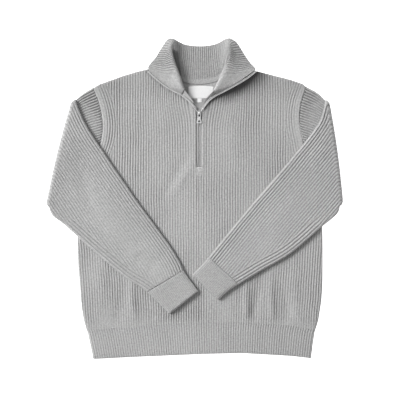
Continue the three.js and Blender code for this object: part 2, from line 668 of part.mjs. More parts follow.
function pullTab() {
  const right = PULL_SIDE.map((row) => [row.half, row.y]);
  const left = PULL_SIDE.map((row) => [-row.half, row.y]).reverse();
  const corners = [...left, [-PULL.ring_half, PULL.top_y], [PULL.ring_half, PULL.top_y], ...right];
  const [low, high] = [HINGE.z - PULL.thick / 2, HINGE.z + PULL.thick / 2];
  const windowHigh = PULL.top_y - PULL.bar;
  const middle = (PULL.window_low_y + windowHigh) / 2;
  const halfTall = (windowHigh - PULL.window_low_y) / 2;
  const window = blockAt(0, middle, low - 1, high + 1, PULL.window_half, halfTall);
  const hole = new THREE.CylinderGeometry(1, 1, PULL.thick + 2, 16).rotateX(Math.PI / 2);
  hole.scale(PULL_HOLE.half_x, PULL_HOLE.half_y, 1).translate(0, PULL_HOLE.y, HINGE.z);
  const whole = toSolid(plate(corners, low, PULL.thick));
  const tab = toGeometry(whole.subtract(window).subtract(toSolid(hole)));
  tab.translate(0, -HINGE.y, -HINGE.z).rotateX(THREE.MathUtils.degToRad(HINGE.droop));
  return tab.translate(0, HINGE.y, HINGE.z);
}

function label() {
  const l = LABEL;
  const top = Array.from({ length: 9 }, (_, i) => {
    const share = i / 8;
    const rise = l.dome * 4 * share * (1 - share);
    return [blend(l.x + l.wide / 2, l.x - l.wide / 2, share), l.y + l.tall / 2 - l.dome + rise];
  });
  const bottom = [
    [l.x - l.wide / 2, l.y - l.tall / 2],
    [l.x + l.wide / 2, l.y - l.tall / 2],
  ];
  return plate([...top, ...bottom], l.z, l.thick);
}

function sizeTab() {
  const t = SIZE_TAB;
  const corners = [
    [t.x - t.wide / 2, t.y - t.tall / 2],
    [t.x + t.wide / 2, t.y - t.tall / 2],
    [t.x + t.wide / 2, t.y + t.tall / 2],
    [t.x - t.wide / 2, t.y + t.tall / 2],
  ];
  return plate(corners, t.z, t.thick);
}

function endBar() {
  const b = END_BAR;
  const rings = Array.from({ length: 7 }, (_, i) => {
    const share = i / 6;
    const x = blend(b.x - b.wide / 2, b.x + b.wide / 2, share);
    const y = b.y - b.bend * 4 * (share - 0.5) ** 2;
    return [
      [x, y - b.tall / 2, b.z],
      [x, y + b.tall / 2, b.z],
      [x, y + b.tall / 2 - 0.6, b.z + b.thick],
      [x, y - b.tall / 2 + 0.6, b.z + b.thick],
    ];
  });
  return barGeometry(rings);
}

const group = new THREE.Group();

function add(name, geometry, material) {
  const mesh = new THREE.Mesh(geometry, material);
  mesh.name = name;
  group.add(mesh);
}

add("back_panel", backPanel(), knitMaterial());
add("front_panel", frontPanel(), knitMaterial());
add("back_hem", backHem(), knitMaterial());
add("front_hem", frontHem(), knitMaterial());
add("left_sleeve", sleeveTube(LEFT_SLEEVE, "left", SLEEVE_RIBS, RIB_HEIGHT), knitMaterial());
add("right_sleeve", sleeveTube(RIGHT_SLEEVE, "right", SLEEVE_RIBS, RIB_HEIGHT), knitMaterial());
add("left_cuff", sleeveTube(LEFT_CUFF, "left", CUFF_RIBS, CUFF_RIB_HEIGHT), knitMaterial());
add("right_cuff", sleeveTube(RIGHT_CUFF, "right", CUFF_RIBS, CUFF_RIB_HEIGHT), knitMaterial());
add("collar", collar(), knitMaterial());
add("left_facing", facing(LEFT_FACING), facingMaterial());
add("right_facing", facing(RIGHT_FACING), facingMaterial());
add("left_zip_tape", strip(LEFT_TAPE, TAPE_WIDE, TAPE_THICK), tapeMaterial());
add("right_zip_tape", strip(RIGHT_TAPE, TAPE_WIDE, TAPE_THICK), tapeMaterial());
add("left_zip_teeth", strip(LEFT_TEETH, TEETH_WIDE, TEETH_THICK), metalMaterial());
add("right_zip_teeth", strip(RIGHT_TEETH, TEETH_WIDE, TEETH_THICK), metalMaterial());
add("zip_slider", slider(), metalMaterial());
add("zip_pull", pullTab(), metalMaterial());
add("zip_end_bar", endBar(), knitMaterial());
add("neck_label", label(), labelMaterial());
add("size_tab", sizeTab(), labelMaterial());

// The garment's bounding box is centred over the origin, its underside on the floor.
const box = new THREE.Box3().setFromObject(group);
for (const mesh of group.children) {
  mesh.geometry.translate(-(box.min.x + box.max.x) / 2, -(box.min.y + box.max.y) / 2, -box.min.z);
}

export default group;
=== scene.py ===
# Half-zip ribbed sweater lying face up, its collar turned out and its sleeves folded over the front.
# Tables are in millimetres in the garment's own frame: x = 0 on the zip, y up the body, z off the surface.
import math

import bmesh
import bpy
import numpy as np
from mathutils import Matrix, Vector


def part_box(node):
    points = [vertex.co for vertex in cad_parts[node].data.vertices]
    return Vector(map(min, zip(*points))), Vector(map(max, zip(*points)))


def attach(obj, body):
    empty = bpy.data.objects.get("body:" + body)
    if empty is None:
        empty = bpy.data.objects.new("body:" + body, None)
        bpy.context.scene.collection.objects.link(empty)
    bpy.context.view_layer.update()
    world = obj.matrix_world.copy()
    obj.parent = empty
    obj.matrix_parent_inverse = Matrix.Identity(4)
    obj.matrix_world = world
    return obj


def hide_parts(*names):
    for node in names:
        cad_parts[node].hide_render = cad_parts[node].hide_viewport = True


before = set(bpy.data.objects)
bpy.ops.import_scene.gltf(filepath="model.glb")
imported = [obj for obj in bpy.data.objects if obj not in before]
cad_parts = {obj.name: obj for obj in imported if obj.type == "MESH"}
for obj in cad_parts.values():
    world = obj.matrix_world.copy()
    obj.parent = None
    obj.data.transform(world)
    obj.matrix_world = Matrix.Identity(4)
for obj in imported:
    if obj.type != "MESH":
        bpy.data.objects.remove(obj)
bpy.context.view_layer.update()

MM = 0.001
slider_low, slider_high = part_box("zip_slider")
SHIFT_X = (slider_low[0] + slider_high[0]) / 2 / MM
SHIFT_Y = (slider_low[1] + slider_high[1]) / 2 / MM - 207

# Levels of the two body layers.
BACK_TOP = 2.6
FRONT_INSIDE = 3.6
FRONT_FACE = 7.9
RIB_DEPTH = 2.3
BACK_RIB_DEPTH = 0.9
EDGE_ROUND = 9
BODY_RIBS = 44
ARMHOLE_PITCH = 6.2
HEM_TALL = 72
HEM_RIB_DEPTH = 1.4
HEM_SEAM_LAP = 0.3
NECK_SEAM_LAP = 3
GROOVE_SHADE = 0.5
PLACKET_HALF = 12
# Mesh steps: across a rib of the front and back, up both, and across one inner face of the front.
RIB_STEPS = 6
BACK_RIB_STEPS = 4
FRONT_ROWS = 100
BACK_ROWS = 70
INNER_STEP = 12
# Halvings in the search for a column's top end.
TOP_SEARCH_STEPS = 40
# Right half of the placket's columns, and those of them that the inner side shares.
PLACKET_COLUMNS = [1, 2, 3, 4, 5.4, 5.8, 6.4, 7, 8, 9, 10, 11]
SLOT_COLUMNS = (5.4, 5.8, 10)
ZIP_FOOT_Y = 79
SLOT_HALF = 6.6
# The body's upright ribs are crowded only beyond this distance from the zip, near the armholes.
BEND_X = 185

CAMERA_HEIGHT = 2.6
SENSOR_WIDTH = 36
PICTURE_CENTRE_X = 1.9
PICTURE_WIDTH = 0.96
FLOOR_GLOW = 1.0
FLOOR_LEVEL = -0.0006
FLOOR_HALF = 3
WORLD_LIGHT = 0.33
KEY_POWER = 3.82
FILL_POWER = 0.45

# Body outline: height, left edge, right edge.
EDGES = np.array([
    (-312, -269.8, 277.9), (-288, -276.5, 285.1), (-264, -280.6, 289.0), (-240, -283.7, 292.3),
    (-204, -286.1, 294.7), (-156, -290.2, 295.4), (-96, -291.4, 295.2), (0, -288.5, 292.6),
    (43, -286.0, 289.9), (72, -267.0, 270.7), (96, -252.5, 259.4), (120, -241.7, 252.2),
    (144, -233.8, 247.9), (175, -230.2, 241.4), (204, -232.6, 240.0), (235, -239.8, 244.3),
    (268, -252.5, 255.1),
])
UNDERARM_Y = 43
ARM_TOP_Y = 268

# Upper edge of the front, left to right, with the zip slot in the middle.
FRONT_TOP = np.array([
    (-252.5, 270.5), (-239.5, 278.2), (-211.7, 288), (-185.3, 297.6), (-154.1, 307.2), (-125.3, 314.4),
    (-94.1, 319.2), (-65.3, 290.4), (-37.7, 264), (-26.9, 248.4), (-16.1, 232), (-8.5, 214),
    (-5.8, 198), (-5.4, 79.7), (5.4, 79.7), (5.8, 198), (8.5, 214), (17, 232), (28, 246), (42.7, 262.8),
    (69.1, 290.4), (97.9, 318), (117.1, 314.4), (148.3, 307.2), (184.3, 298), (220, 289),
    (249.5, 278.4), (255.1, 273),
])
BACK_NECK = np.array([
    (-94.1, 319.2), (-70.1, 300), (-46.1, 283.2), (-22.1, 276.5), (3.1, 275.3), (28.3, 278.4),
    (52.3, 285.5), (76.3, 300), (97.9, 318),
])
HEM_SEAM = np.array([
    (-269.8, -312), (-166, -305.8), (-82, -297.6), (2, -294), (98, -294), (218, -301.7), (277.9, -312),
])
HEM_BOTTOM = np.array([
    (-249, -382), (-166, -377.6), (-82, -374), (2, -370.4), (98, -368), (218, -375), (261, -380),
])
# Share of the way down the hem, and how far its width is drawn in there.
HEM_DRAW = np.array([(0, 1.004), (0.12, 0.992), (0.3, 0.982), (0.6, 0.968), (1, 0.952)])
# How far the hem's lower edge stands to the right of its seam.
HEM_LEAN = 3

# Rings of each sleeve: upper edge x y, lower edge x y, turn over the fold in degrees, armhole share.
LEFT_SLEEVE = np.array([
    (-254.2, 270.6, -287, 43, 0, 1), (-277, 257, -322, 18, 0, 0.5), (-298, 241, -361.5, -17, 0, 0),
    (-298, 241, -361.5, -17, 180, 0), (-272, 182, -350, -38, 180, 0), (-222, 105, -324, -58, 180, 0),
    (-143, -10, -262, -114, 180, 0), (-74, -104, -178, -185, 180, 0), (-47, -147, -141, -208, 180, 0),
    (-37.5, -168, -124, -220, 180, 0),
])
LEFT_CUFF = np.array([
    (-37.4, -168.2, -123.6, -220.2, 180, 0), (-27, -184, -106, -238, 180, 0),
    (-1.4, -218.4, -70.3, -273.1, 180, 0),
])
RIGHT_SLEEVE = np.array([
    (257, 272.6, 290.8, 43, 0, 1), (282, 259, 314, 17, 0, 0.5), (304, 240, 338.5, -14, 0, 0),
    (304, 240, 338.5, -14, 180, 0), (286, 185, 329, -34, 180, 0), (228, 108, 290, -67, 180, 0),
    (148, 15, 218, -129, 180, 0), (75, -72, 145, -172, 180, 0), (23, -136, 95, -202, 180, 0),
])
RIGHT_CUFF = np.array([
    (22.9, -136.2, 94.6, -202.2, 180, 0), (14, -147.5, 82, -209.5, 180, 0),
    (-17, -179.5, 45.6, -239, 180, 0),
])
FOLD_ROW = 2
FOLD_AXIS_Z = 8
FOLD_RADIUS = 4.3
SLEEVE_HALF = 3.7
SLEEVE_EDGE = 11
# How far the folded part swells above the flat one, and how wide its lower edge's bold ribs run.
SLEEVE_LOFT = 2.0
LOWER_RIBS = 25
SLEEVE_WALL = 3.2
SLEEVE_PITCH = 6.4
LOWER_PITCH = 7.2
CUFF_PITCH = 4.2
SLEEVE_RIB_DEPTH = 2.0
CUFF_RIB_DEPTH = 0.9
# Mesh steps of the sleeves and cuffs: across one face, and rows before, around and after the fold.
SLEEVE_STEPS = 216
CUFF_STEPS = 150
TUBE_INNER_STEP = 6
SLEEVE_ROWS = (18, 11, 116)
CUFF_ROWS = 34

# Collar sections: distance along the collar from centre back, then seam, ridge, rest and edge points.
COLLAR = np.array([
    (-172, -41.4, 254, 10.2, -62.5, 264.6, 10.4, -91.4, 284.2, 10.2, -121.6, 311.6, 10.2),
    (-158, -36.2, 262.5, 20.5, -47, 271.5, 22.5, -84, 292, 14, -121.8, 313.5, 10),
    (-146, -36, 266.5, 9.5, -53, 302, 27.3, -84, 305, 17, -123, 318.5, 10),
    (-130, -39.5, 272, 5.6, -59.5, 324, 28.3, -84, 322.5, 18.5, -116.5, 328.5, 10),
    (-112, -43.5, 277.5, 5.4, -64.5, 343, 28.5, -81.5, 338.5, 19.5, -106, 340, 10.2),
    (-95, -46.5, 281.5, 5.2, -67, 357, 28.2, -77.5, 355, 21.5, -95.5, 356.5, 12),
    (-80, -47.5, 285, 4.6, -67, 367, 26.8, -71.5, 370.5, 23.5, -84, 373.8, 15.5),
    (-72, -46.8, 286, 3.8, -64, 372, 24.5, -66.5, 378.5, 23, -76, 383.6, 18.5),
    (-66, -45.5, 286, 3, -60, 370, 21.5, -62.5, 380, 21, -68.6, 386.6, 19),
    (-58, -42.5, 285.2, 2.2, -53.5, 362, 13.5, -56.5, 376, 15, -59, 385, 15),
    (-50, -37.5, 283.2, 1.7, -47.5, 350, 6.5, -49, 368, 8, -50, 380.8, 8.5),
    (-36, -27, 280, 1.6, -32.5, 335, 2.2, -34.5, 357, 2.6, -36, 374.8, 3),
    (-18, -13, 278.2, 1.6, -15.5, 330, 1.6, -16.5, 350, 1.6, -17, 371.4, 1.6),
    (0, 3, 277.5, 1.6, 3.2, 328, 1.6, 3.6, 348, 1.6, 4, 370.4, 1.6),
    (16, 17.5, 279, 1.6, 18.8, 330, 1.6, 19.4, 350, 1.6, 20, 371.4, 1.6),
    (33, 30.5, 281.6, 1.6, 35, 336, 2.2, 36.5, 357, 2.6, 38, 374.8, 3),
    (48, 41.5, 285, 1.7, 51, 350, 6.5, 52, 368, 8, 52.8, 380.8, 8.5),
    (57, 47, 288, 2.2, 58.5, 362, 13.5, 60.5, 376, 15, 62.5, 385.4, 15),
    (65, 50, 289.3, 3, 66, 370, 21.5, 67, 380, 21, 72, 387, 19),
    (72, 52, 289, 3.8, 69.5, 371, 25, 72, 378.5, 23, 80, 383.8, 18.5),
    (80, 52.8, 287.5, 4.6, 72.5, 367, 26.8, 77.5, 371.5, 23.5, 90, 377, 15.5),
    (95, 51.5, 283, 5.2, 72.5, 357, 28.2, 83.5, 355, 21.5, 102.5, 358, 12),
    (112, 47, 278, 5.4, 71, 343, 28.5, 87.5, 337, 19.5, 114.5, 339.5, 10.2),
    (130, 42.5, 271.5, 5.6, 66.5, 324, 28.3, 90.5, 320, 21.5, 124.5, 326, 11),
    (146, 36.5, 265.5, 9.5, 59, 302, 27.5, 91, 303.5, 21, 133, 317.4, 12),
    (158, 34.5, 260.5, 20.5, 46.5, 270, 23, 91, 291, 19.5, 134.5, 313.5, 12.5),
    (172, 38.4, 253.8, 12, 61, 265, 16, 92, 281.5, 18, 134.5, 311.6, 13),
])
COLLAR_HALF = 1.6
COLLAR_TALL = 95
COLLAR_RIBS = 70
COLLAR_RIB_STEPS = 8
COLLAR_RIB_DEPTH = 1.2

# Facings beside the zip: outer, ridge and foot points at three stations.
LEFT_FACING = np.array([
    (-41, 253.1, 10.2, -35.2, 261.9, 20.3, -31.5, 259, 12.5),
    (-24.9, 242, 10.1, -22, 246.3, 15, -19.6, 243.6, 10.4),
    (-14.6, 232, 9.8, -13.1, 233.6, 11, -11.8, 231.8, 9.8),
])
RIGHT_FACING = np.array([
    (37.4, 253.6, 10.2, 33.2, 259.9, 20.3, 30, 257, 12.5),
    (20.9, 242, 10.1, 19.2, 245.4, 15, 17.3, 243, 10.4),
    (12.4, 232, 9.8, 11.2, 233.6, 11, 10, 231.8, 9.8),
])

LEFT_TEETH = np.array([
    (-1.3, 80.6, 6.7), (-1.3, 203, 6.7), (-3.4, 210, 7.1), (-5.6, 213.5, 7.7), (-9.5, 218.5, 9),
    (-14.4, 224.2, 9.4), (-27.6, 239.2, 9.6), (-43.2, 251.2, 9.8), (-61.8, 260.6, 9.8),
    (-84.6, 274.3, 9.8), (-109.9, 295.2, 9.8), (-122.8, 307.4, 9.8),
])
RIGHT_TEETH = np.array([
    (1.3, 80.6, 6.7), (1.3, 203, 6.7), (3.4, 210, 7.1), (5.6, 213.5, 7.7), (9.5, 219, 9),
    (13.4, 224.2, 9.4), (24.5, 238.1, 10.4), (40.6, 249.6, 12.4), (63.6, 261.1, 15.6),
    (93.4, 277.2, 17.4), (118.8, 293.3, 14.6), (136.8, 308, 12),
])
LEFT_TAPE = np.array([
    (-3.95, 80.6, 6.7), (-3.95, 198, 6.7), (-3.95, 202, 4.7), (-3.6, 210, 4.7), (-4.9, 214.3, 4.9),
    (-6.4, 218.6, 6), (-8.6, 222.4, 9.2), (-12.5, 226, 9.4), (-26.4, 240.5, 9.2), (-42.6, 252.4, 9.2),
    (-61.2, 261.8, 9.2), (-83.8, 275.4, 9.2), (-108.9, 296.4, 9.2), (-121.6, 308.6, 9.2),
])
RIGHT_TAPE = np.array([
    (3.95, 80.6, 6.7), (3.95, 198, 6.7), (3.95, 202, 4.7), (3.6, 210, 4.7), (4.9, 214.3, 4.9),
    (6.4, 218.6, 6), (8, 222.4, 9.2), (11.5, 226, 9.4), (22.7, 240, 10.4), (39.2, 251.9, 12.2),
    (62.4, 263.5, 15.4), (92.1, 279.5, 17.4), (117.2, 295.4, 14.6), (135, 310, 12),
])
TOOTH_PITCH = 2.1
TEETH_PART_Y = 204
TAPE_WIDE = 2.2
TAPE_THICK = 1.2
LABEL_LEVEL = 2.9

# Slider outline and pull tab outline: height along the zip, half width.
SLIDER_SIDE = np.array([
    (199.4, 3.4), (199.7, 4.4), (201, 5), (205, 5.2), (209, 5.7), (212, 6), (213.8, 5.3), (214.6, 3.4),
])
PULL_SIDE = np.array([
    (207.2, 2.4), (206.9, 3.1), (206, 3.4), (199, 3.4), (195, 3.1), (192.4, 3.9), (190, 5.2),
    (187, 6.2), (185, 6.1), (184, 5.4), (183.6, 4.2),
])
# Path of the bridge over the slider: height along the zip, level.
BRIDGE_PATH = np.array([
    (211.8, 10.2), (211.9, 12.6), (211.3, 14.3), (209.8, 15.1), (206.6, 15.1), (205, 14.6),
    (204.4, 13.2), (204.4, 10.2),
])
PULL_HOLE_Y = 188.6
PULL_THICK = 1.6
HINGE_Y = 206.4
HINGE_Z = 12.6
PULL_DROOP = 5

# Patches where the front's ribs are stretched faint: centre x y, half length x y, share left out.
FAINT_PATCHES = [
    (-222, -285, 34, 56, 0.8), (-252, -190, 26, 60, 0.45), (58, -262, 46, 40, 0.6),
    (222, -270, 50, 60, 0.35), (150, -246, 30, 60, 0.3), (-160, -290, 40, 40, 0.4),
    (205, 190, 60, 90, 0.35),
]

# Soft creases of the front: centre x y, direction in degrees, half length, half width, height.
FRONT_CREASES = [
    (113, -258, 84, 62, 9, 3.4), (140, -262, 88, 60, 10, -2.6), (177, -252, 93, 58, 9, 3.2),
    (206, -262, 96, 50, 11, -2.0), (-156, -246, 92, 56, 11, 3.0), (74, 244, 30, 52, 10, -1.6),
    (-186, -258, 86, 52, 14, -2.0), (-120, -262, 96, 46, 13, -1.6), (-70, 40, 52, 60, 12, -1.6),
    (-46, 52, 54, 66, 12, 1.5), (-110, 150, 74, 90, 26, 1.5), (95, 120, 100, 100, 28, 1.4),
    (70, -60, 96, 90, 26, -1.4), (20, -20, 84, 110, 24, 1.0), (-40, -130, 80, 60, 18, 1.2),
    (234, -230, 95, 70, 16, 1.8), (-240, -180, 86, 90, 20, 1.4), (40, -250, 88, 50, 16, 1.3),
    (-60, -270, 94, 45, 14, 1.2),
]
LEFT_SLEEVE_CREASES = [
    (-300, 90, 100, 60, 20, 2.2), (-262, 10, 118, 50, 14, -1.8), (-225, 30, 125, 90, 22, 1.8),
    (-170, -70, 122, 70, 18, -1.4), (-150, -130, 30, 34, 12, 1.2), (-100, -150, 35, 40, 12, -1.0),
]
RIGHT_SLEEVE_CREASES = [
    (290, 90, 70, 60, 20, 2.2), (250, 20, 52, 60, 18, -1.8), (205, -20, 48, 80, 20, 1.8),
    (150, -80, 46, 60, 18, -1.5), (90, -140, 140, 30, 12, 1.2),
]


def smooth(knots, values, at):
    knots = np.asarray(knots, float)
    values = np.asarray(values, float)
    at = np.atleast_1d(np.asarray(at, float))
    last = len(knots) - 1
    i = np.clip(np.searchsorted(knots, at, side="right") - 1, 0, last - 1)
    order = np.arange(last + 1)
    before = np.maximum(order - 1, 0)
    after = np.minimum(order + 1, last)
    slopes = (values[after] - values[before]) / (knots[after] - knots[before])[:, None]
    span = (knots[i + 1] - knots[i])[:, None]
    t = (at - knots[i])[:, None] / span
    start = (2 * t**3 - 3 * t**2 + 1) * values[i] + (t**3 - 2 * t**2 + t) * span * slopes[i]
    end = (3 * t**2 - 2 * t**3) * values[i + 1] + (t**3 - t**2) * span * slopes[i + 1]
    return start + end


# Length along a line of points, up to each of them.
def run_length(points):
    steps = np.hypot(*np.diff(points, axis=0).T)
    return np.concatenate([[0], np.cumsum(steps)])


def smooth_path(points, count):
    knots = run_length(points[:, :2])
    return smooth(knots, points, np.linspace(0, knots[-1], count))


def height_on(line, x):
    return np.interp(x, line[:, 0], line[:, 1])


def directions(path):
    tangent = np.gradient(path[:, :2], axis=0)
    return tangent / np.linalg.norm(tangent, axis=1, keepdims=True)


def ease(value):
    t = np.clip(value, 0, 1)
    return t * t * (3 - 2 * t)


def bell(distance, width):
    return np.exp(-((distance / width) ** 2))


def round_edge(distance, radius):
    inside = np.clip(np.asarray(distance, float) / radius, 0, 1)
    return np.sqrt(1 - (1 - inside) ** 2)


def rib(phase):
    return np.abs(np.sin(np.pi * phase)) ** 0.8


def relief(x, y, creases):
    height = np.zeros_like(x)
    for cx, cy, angle, half_length, half_width, rise in creases:
        turn = math.radians(angle)
        along = (x - cx) * math.cos(turn) + (y - cy) * math.sin(turn)
        across = -(x - cx) * math.sin(turn) + (y - cy) * math.cos(turn)
        wander = across - half_width * 0.5 * np.sin(along / half_length * 1.7 + cx)
        height += rise * np.exp(-((along / half_length) ** 2) - (wander / half_width) ** 2)
    return height


DENSE_Y = np.linspace(EDGES[0, 0], EDGES[-1, 0], 700)
DENSE_EDGES = smooth(EDGES[:, 0], EDGES[:, 1:], DENSE_Y) + np.array([-1.2, 1.2])
WIDEST = {-1: float(np.interp(UNDERARM_Y, EDGES[:, 0], -EDGES[:, 1])), 1: 289.9}


def half_width(side, y):
    return side * np.interp(y, DENSE_Y, DENSE_EDGES[:, 0 if side < 0 else 1])


# Distance from the middle of a column that stands at a share of the half width: upright lines
# above the underarm, crowded together only near the armhole.
def column_reach(side, share, y):
    wide = half_width(side, y)
    plain = PLACKET_HALF + share * (wide - PLACKET_HALF)
    upright = PLACKET_HALF + share * (WIDEST[side] - PLACKET_HALF)
    squeezed = BEND_X + (upright - BEND_X) * (wide - BEND_X) / (WIDEST[side] - BEND_X)
    above = np.where(upright < BEND_X, upright, squeezed)
    return np.where(np.asarray(y) < UNDERARM_Y, plain, above)


def rib_pitch(y):
    return np.interp(y, [-288, -240, -96, 43], [6.0, 6.08, 6.3, 6.35])


# Shortest distance to the left or right armhole line, for points above the underarm.
def armhole_distance(side, x, y):
    line_y = np.linspace(UNDERARM_Y, ARM_TOP_Y, 46)
    line_x = side * half_width(side, line_y)
    gaps = np.full(x.shape, 1e9)
    for px, py in zip(line_x, line_y):
        gaps = np.minimum(gaps, np.hypot(x - px, y - py))
    return gaps


def place(points):
    moved = np.array(points, float)
    moved[..., 0] += SHIFT_X
    moved[..., 1] += SHIFT_Y
    return moved * MM


def add_object(name, data):
    obj = bpy.data.objects.new(name, data)
    bpy.context.scene.collection.objects.link(obj)
    return obj


def make_object(name, points, faces, uvs, material, body="garment", smooth_count=math.inf, groove_and_painted_shade=None):
    mesh = bpy.data.meshes.new(name)
    mesh.from_pydata(place(points).reshape(-1, 3).tolist(), [], faces)
    layer = mesh.uv_layers.new(name="UVMap")
    loops = np.empty(len(mesh.loops), dtype=np.int32)
    mesh.loops.foreach_get("vertex_index", loops)
    layer.data.foreach_set("uv", (np.asarray(uvs, float) * MM)[loops].ravel())
    work = bmesh.new()
    work.from_mesh(mesh)
    bmesh.ops.recalc_face_normals(work, faces=work.faces)
    work.to_mesh(mesh)
    work.free()
    mesh.polygons.foreach_set("use_smooth", np.arange(len(faces)) < smooth_count)
    # The painted shade per point goes into a mesh attribute, which the materials mix towards a dark grey.
    if groove_and_painted_shade is not None:
        depth = mesh.attributes.new("groove_and_painted_shade", "FLOAT", "POINT")
        depth.data.foreach_set("value", np.asarray(groove_and_painted_shade, dtype=np.float32).ravel())
    mesh.materials.append(material)
    obj = add_object(name, mesh)
    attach(obj, body)
    return obj


# Quads between the points of a grid, each with its corners in the given order.
def grid_faces(rows, wide, closed=True, base=0, order=(0, 1, 2, 3)):
    row = base + np.arange(rows - 1)[:, None] * wide
    column = np.arange(wide if closed else wide - 1)[None, :]
    beside = (column + 1) % wide
    corners = [row + column, row + beside, row + wide + beside, row + wide + column]
    return np.stack([corners[k] for k in order], axis=-1).reshape(-1, 4).tolist()


# A wall between a fine outer grid and a sparser inner grid, stitched along its borders. The inner
# columns stand at the outer ones that match names. groove_and_painted_shade is painted shade on the
# outer side, in its rib valleys and wherever a caller adds painted shadow, and inner_painted_shade is
# painted shade on the inner side.
def wall(name, outer, inner, match, uv, material, groove_and_painted_shade=0.0, inner_painted_shade=0.0, closed=False, inner_uv=None):
    rows, wide = outer.shape[:2]
    inner_wide = inner.shape[1]
    base = rows * wide
    faces = grid_faces(rows, wide, closed)
    faces += grid_faces(rows, inner_wide, closed, base, (0, 3, 2, 1))
    broad = len(faces)
    top = rows - 1
    for k in range(inner_wide if closed else inner_wide - 1):
        start = match[k]
        stop = match[k + 1] if k + 1 < inner_wide else wide
        low, low_next = base + k, base + (k + 1) % inner_wide
        high, high_next = low + top * inner_wide, low_next + top * inner_wide
        for j in range(start, stop):
            faces.append([low, (j + 1) % wide, j])
            faces.append([high, top * wide + j, top * wide + (j + 1) % wide])
        faces.append([low, low_next, stop % wide])
        faces.append([high, top * wide + stop % wide, high_next])
    if not closed:
        for i in range(rows - 1):
            a, b = i * wide, (i + 1) * wide
            d, e = base + i * inner_wide, base + (i + 1) * inner_wide
            faces.append([a, b, e, d])
            faces.append([a + wide - 1, d + inner_wide - 1, e + inner_wide - 1, b + wide - 1])
    points = np.concatenate([outer.reshape(-1, 3), inner.reshape(-1, 3)])
    inner_uv = uv[:, match] if inner_uv is None else inner_uv
    uvs = np.concatenate([uv.reshape(-1, 2), inner_uv.reshape(-1, 2)])
    # Painted shade per point: the inner side's value, then the outer side's.
    depth = np.full(len(points), inner_painted_shade)
    depth[:base] = np.ravel(groove_and_painted_shade)
    return make_object(name, points, faces, uvs, material, smooth_count=broad, groove_and_painted_shade=depth)


def bar(name, rings, material):
    rings = np.asarray(rings, float)
    count, wide = rings.shape[:2]
    faces = grid_faces(count, wide)
    faces.append(list(range(wide))[::-1])
    faces.append([(count - 1) * wide + c for c in range(wide)])
    points = rings.reshape(-1, 3)
    return make_object(name, points, faces, points[:, :2], material)


# Columns of the front: each rib in a few steps on both halves, and the placket's own between them.
def front_columns():
    steps = BODY_RIBS * RIB_STEPS
    shares = 1 - np.arange(steps + 1) / steps
    columns = [(-1, share, 0.0) for share in shares]
    columns += [(0, 0.0, x) for x in [-x for x in PLACKET_COLUMNS[::-1]] + [0] + PLACKET_COLUMNS]
    columns += [(1, share, 0.0) for share in shares[::-1]]
    return columns


def back_columns():
    steps = BODY_RIBS * BACK_RIB_STEPS
    shares = np.arange(steps + 1) / steps
    return [(-1, share, 0.0) for share in shares[::-1]] + [(1, share, 0.0) for share in shares]


# Numbers of the columns that the inner side shares: every few, the extra ones and the last.
def shared_columns(columns, step, extra=()):
    return sorted({*range(0, len(columns), step), *extra, len(columns) - 1})


def column_x(column, y):
    side, share, x = column
    if side == 0:
        return np.full(np.shape(y), x)
    return side * column_reach(side, share, y)


# Points of a body panel, whose columns run from the hem seam up to its top line, and their top ends.
def panel_grid(columns, rows, top_line):
    outer = np.zeros((len(rows), len(columns), 3))
    tops = np.zeros(len(columns))
    for c, column in enumerate(columns):
        low = float(height_on(HEM_SEAM, column_x(column, EDGES[0, 0])))
        high = ARM_TOP_Y
        for _ in range(TOP_SEARCH_STEPS):
            high = (high + float(height_on(top_line, column_x(column, high)))) / 2
        y = low + (high - low) * rows
        outer[:, c, 0] = column_x(column, y)
        outer[:, c, 1] = y
        tops[c] = high
    return outer, tops


# Distance from the body's nearer side edge.
def rim_distance(x, y):
    return np.where(x < 0, half_width(-1, y), half_width(1, y)) - np.abs(x)


# A layer of the body: its inner side lies at a level of its own.
def body_layer(name, outer, level, match, groove_and_painted_shade, inner_painted_shade=0.0):
    inner = outer[:, match].copy()
    inner[..., 2] = level
    return wall(name, outer, inner, match, outer[..., :2], KNIT, groove_and_painted_shade, inner_painted_shade)


# Share of the ribs that is left where the front is stretched.
def unstretched(x, y):
    left = np.ones_like(x)
    for cx, cy, half_x, half_y, share in FAINT_PATCHES:
        left *= 1 - share * np.exp(-(((x - cx) / half_x) ** 2) - ((y - cy) / half_y) ** 2)
    return left


# How bold the body's ribs are: faint beside the zip and across the chest, bold low down and at the sides.
def boldness(x, y):
    middle = np.exp(-((x / 95) ** 2) - (((y - 40) / 150) ** 2))
    low = ease((-150 - y) / 120)
    uneven = 0.12 * np.sin(x / 29 + y / 83) + 0.08 * np.sin(x / 13.7 - y / 57 + 2)
    beside_zip = bell(x, 28) * ease((y - 30) / 40)
    return (0.87 - 0.22 * middle + 0.2 * low + uneven) * (1 - 0.4 * beside_zip)


# Ribs of the body: upright, fanned out below the neck, and along the armhole line close to it.
def body_ribs(x, y):
    reach = np.abs(x)
    fan = 12 * ease((y - 160) / 95) * bell(reach - 48, 46) * ease((reach - PLACKET_HALF) / 12)
    wander = 0.07 * wobble(x, y) * ease((reach - PLACKET_HALF) / 20) * ease((y + 300) / 40)
    upright = rib((reach - fan - PLACKET_HALF) / rib_pitch(y) + wander)
    gap = np.where(x < 0, armhole_distance(-1, x, y), armhole_distance(1, x, y))
    near = (1 - ease((gap - 26) / 16)) * ease((y - 20) / 40)
    following = 1 - (1 - rib(gap / ARMHOLE_PITCH)) * (0.2 + 0.8 * ease((gap - 10) / 5))
    upright = upright * (1 - bell(x, 1.2))
    ribs = upright * (1 - near) + following * near
    strip = ease((PLACKET_HALF - reach) / 0.8) * ease((y - 56) / 6)
    return ribs * (1 - strip) + strip
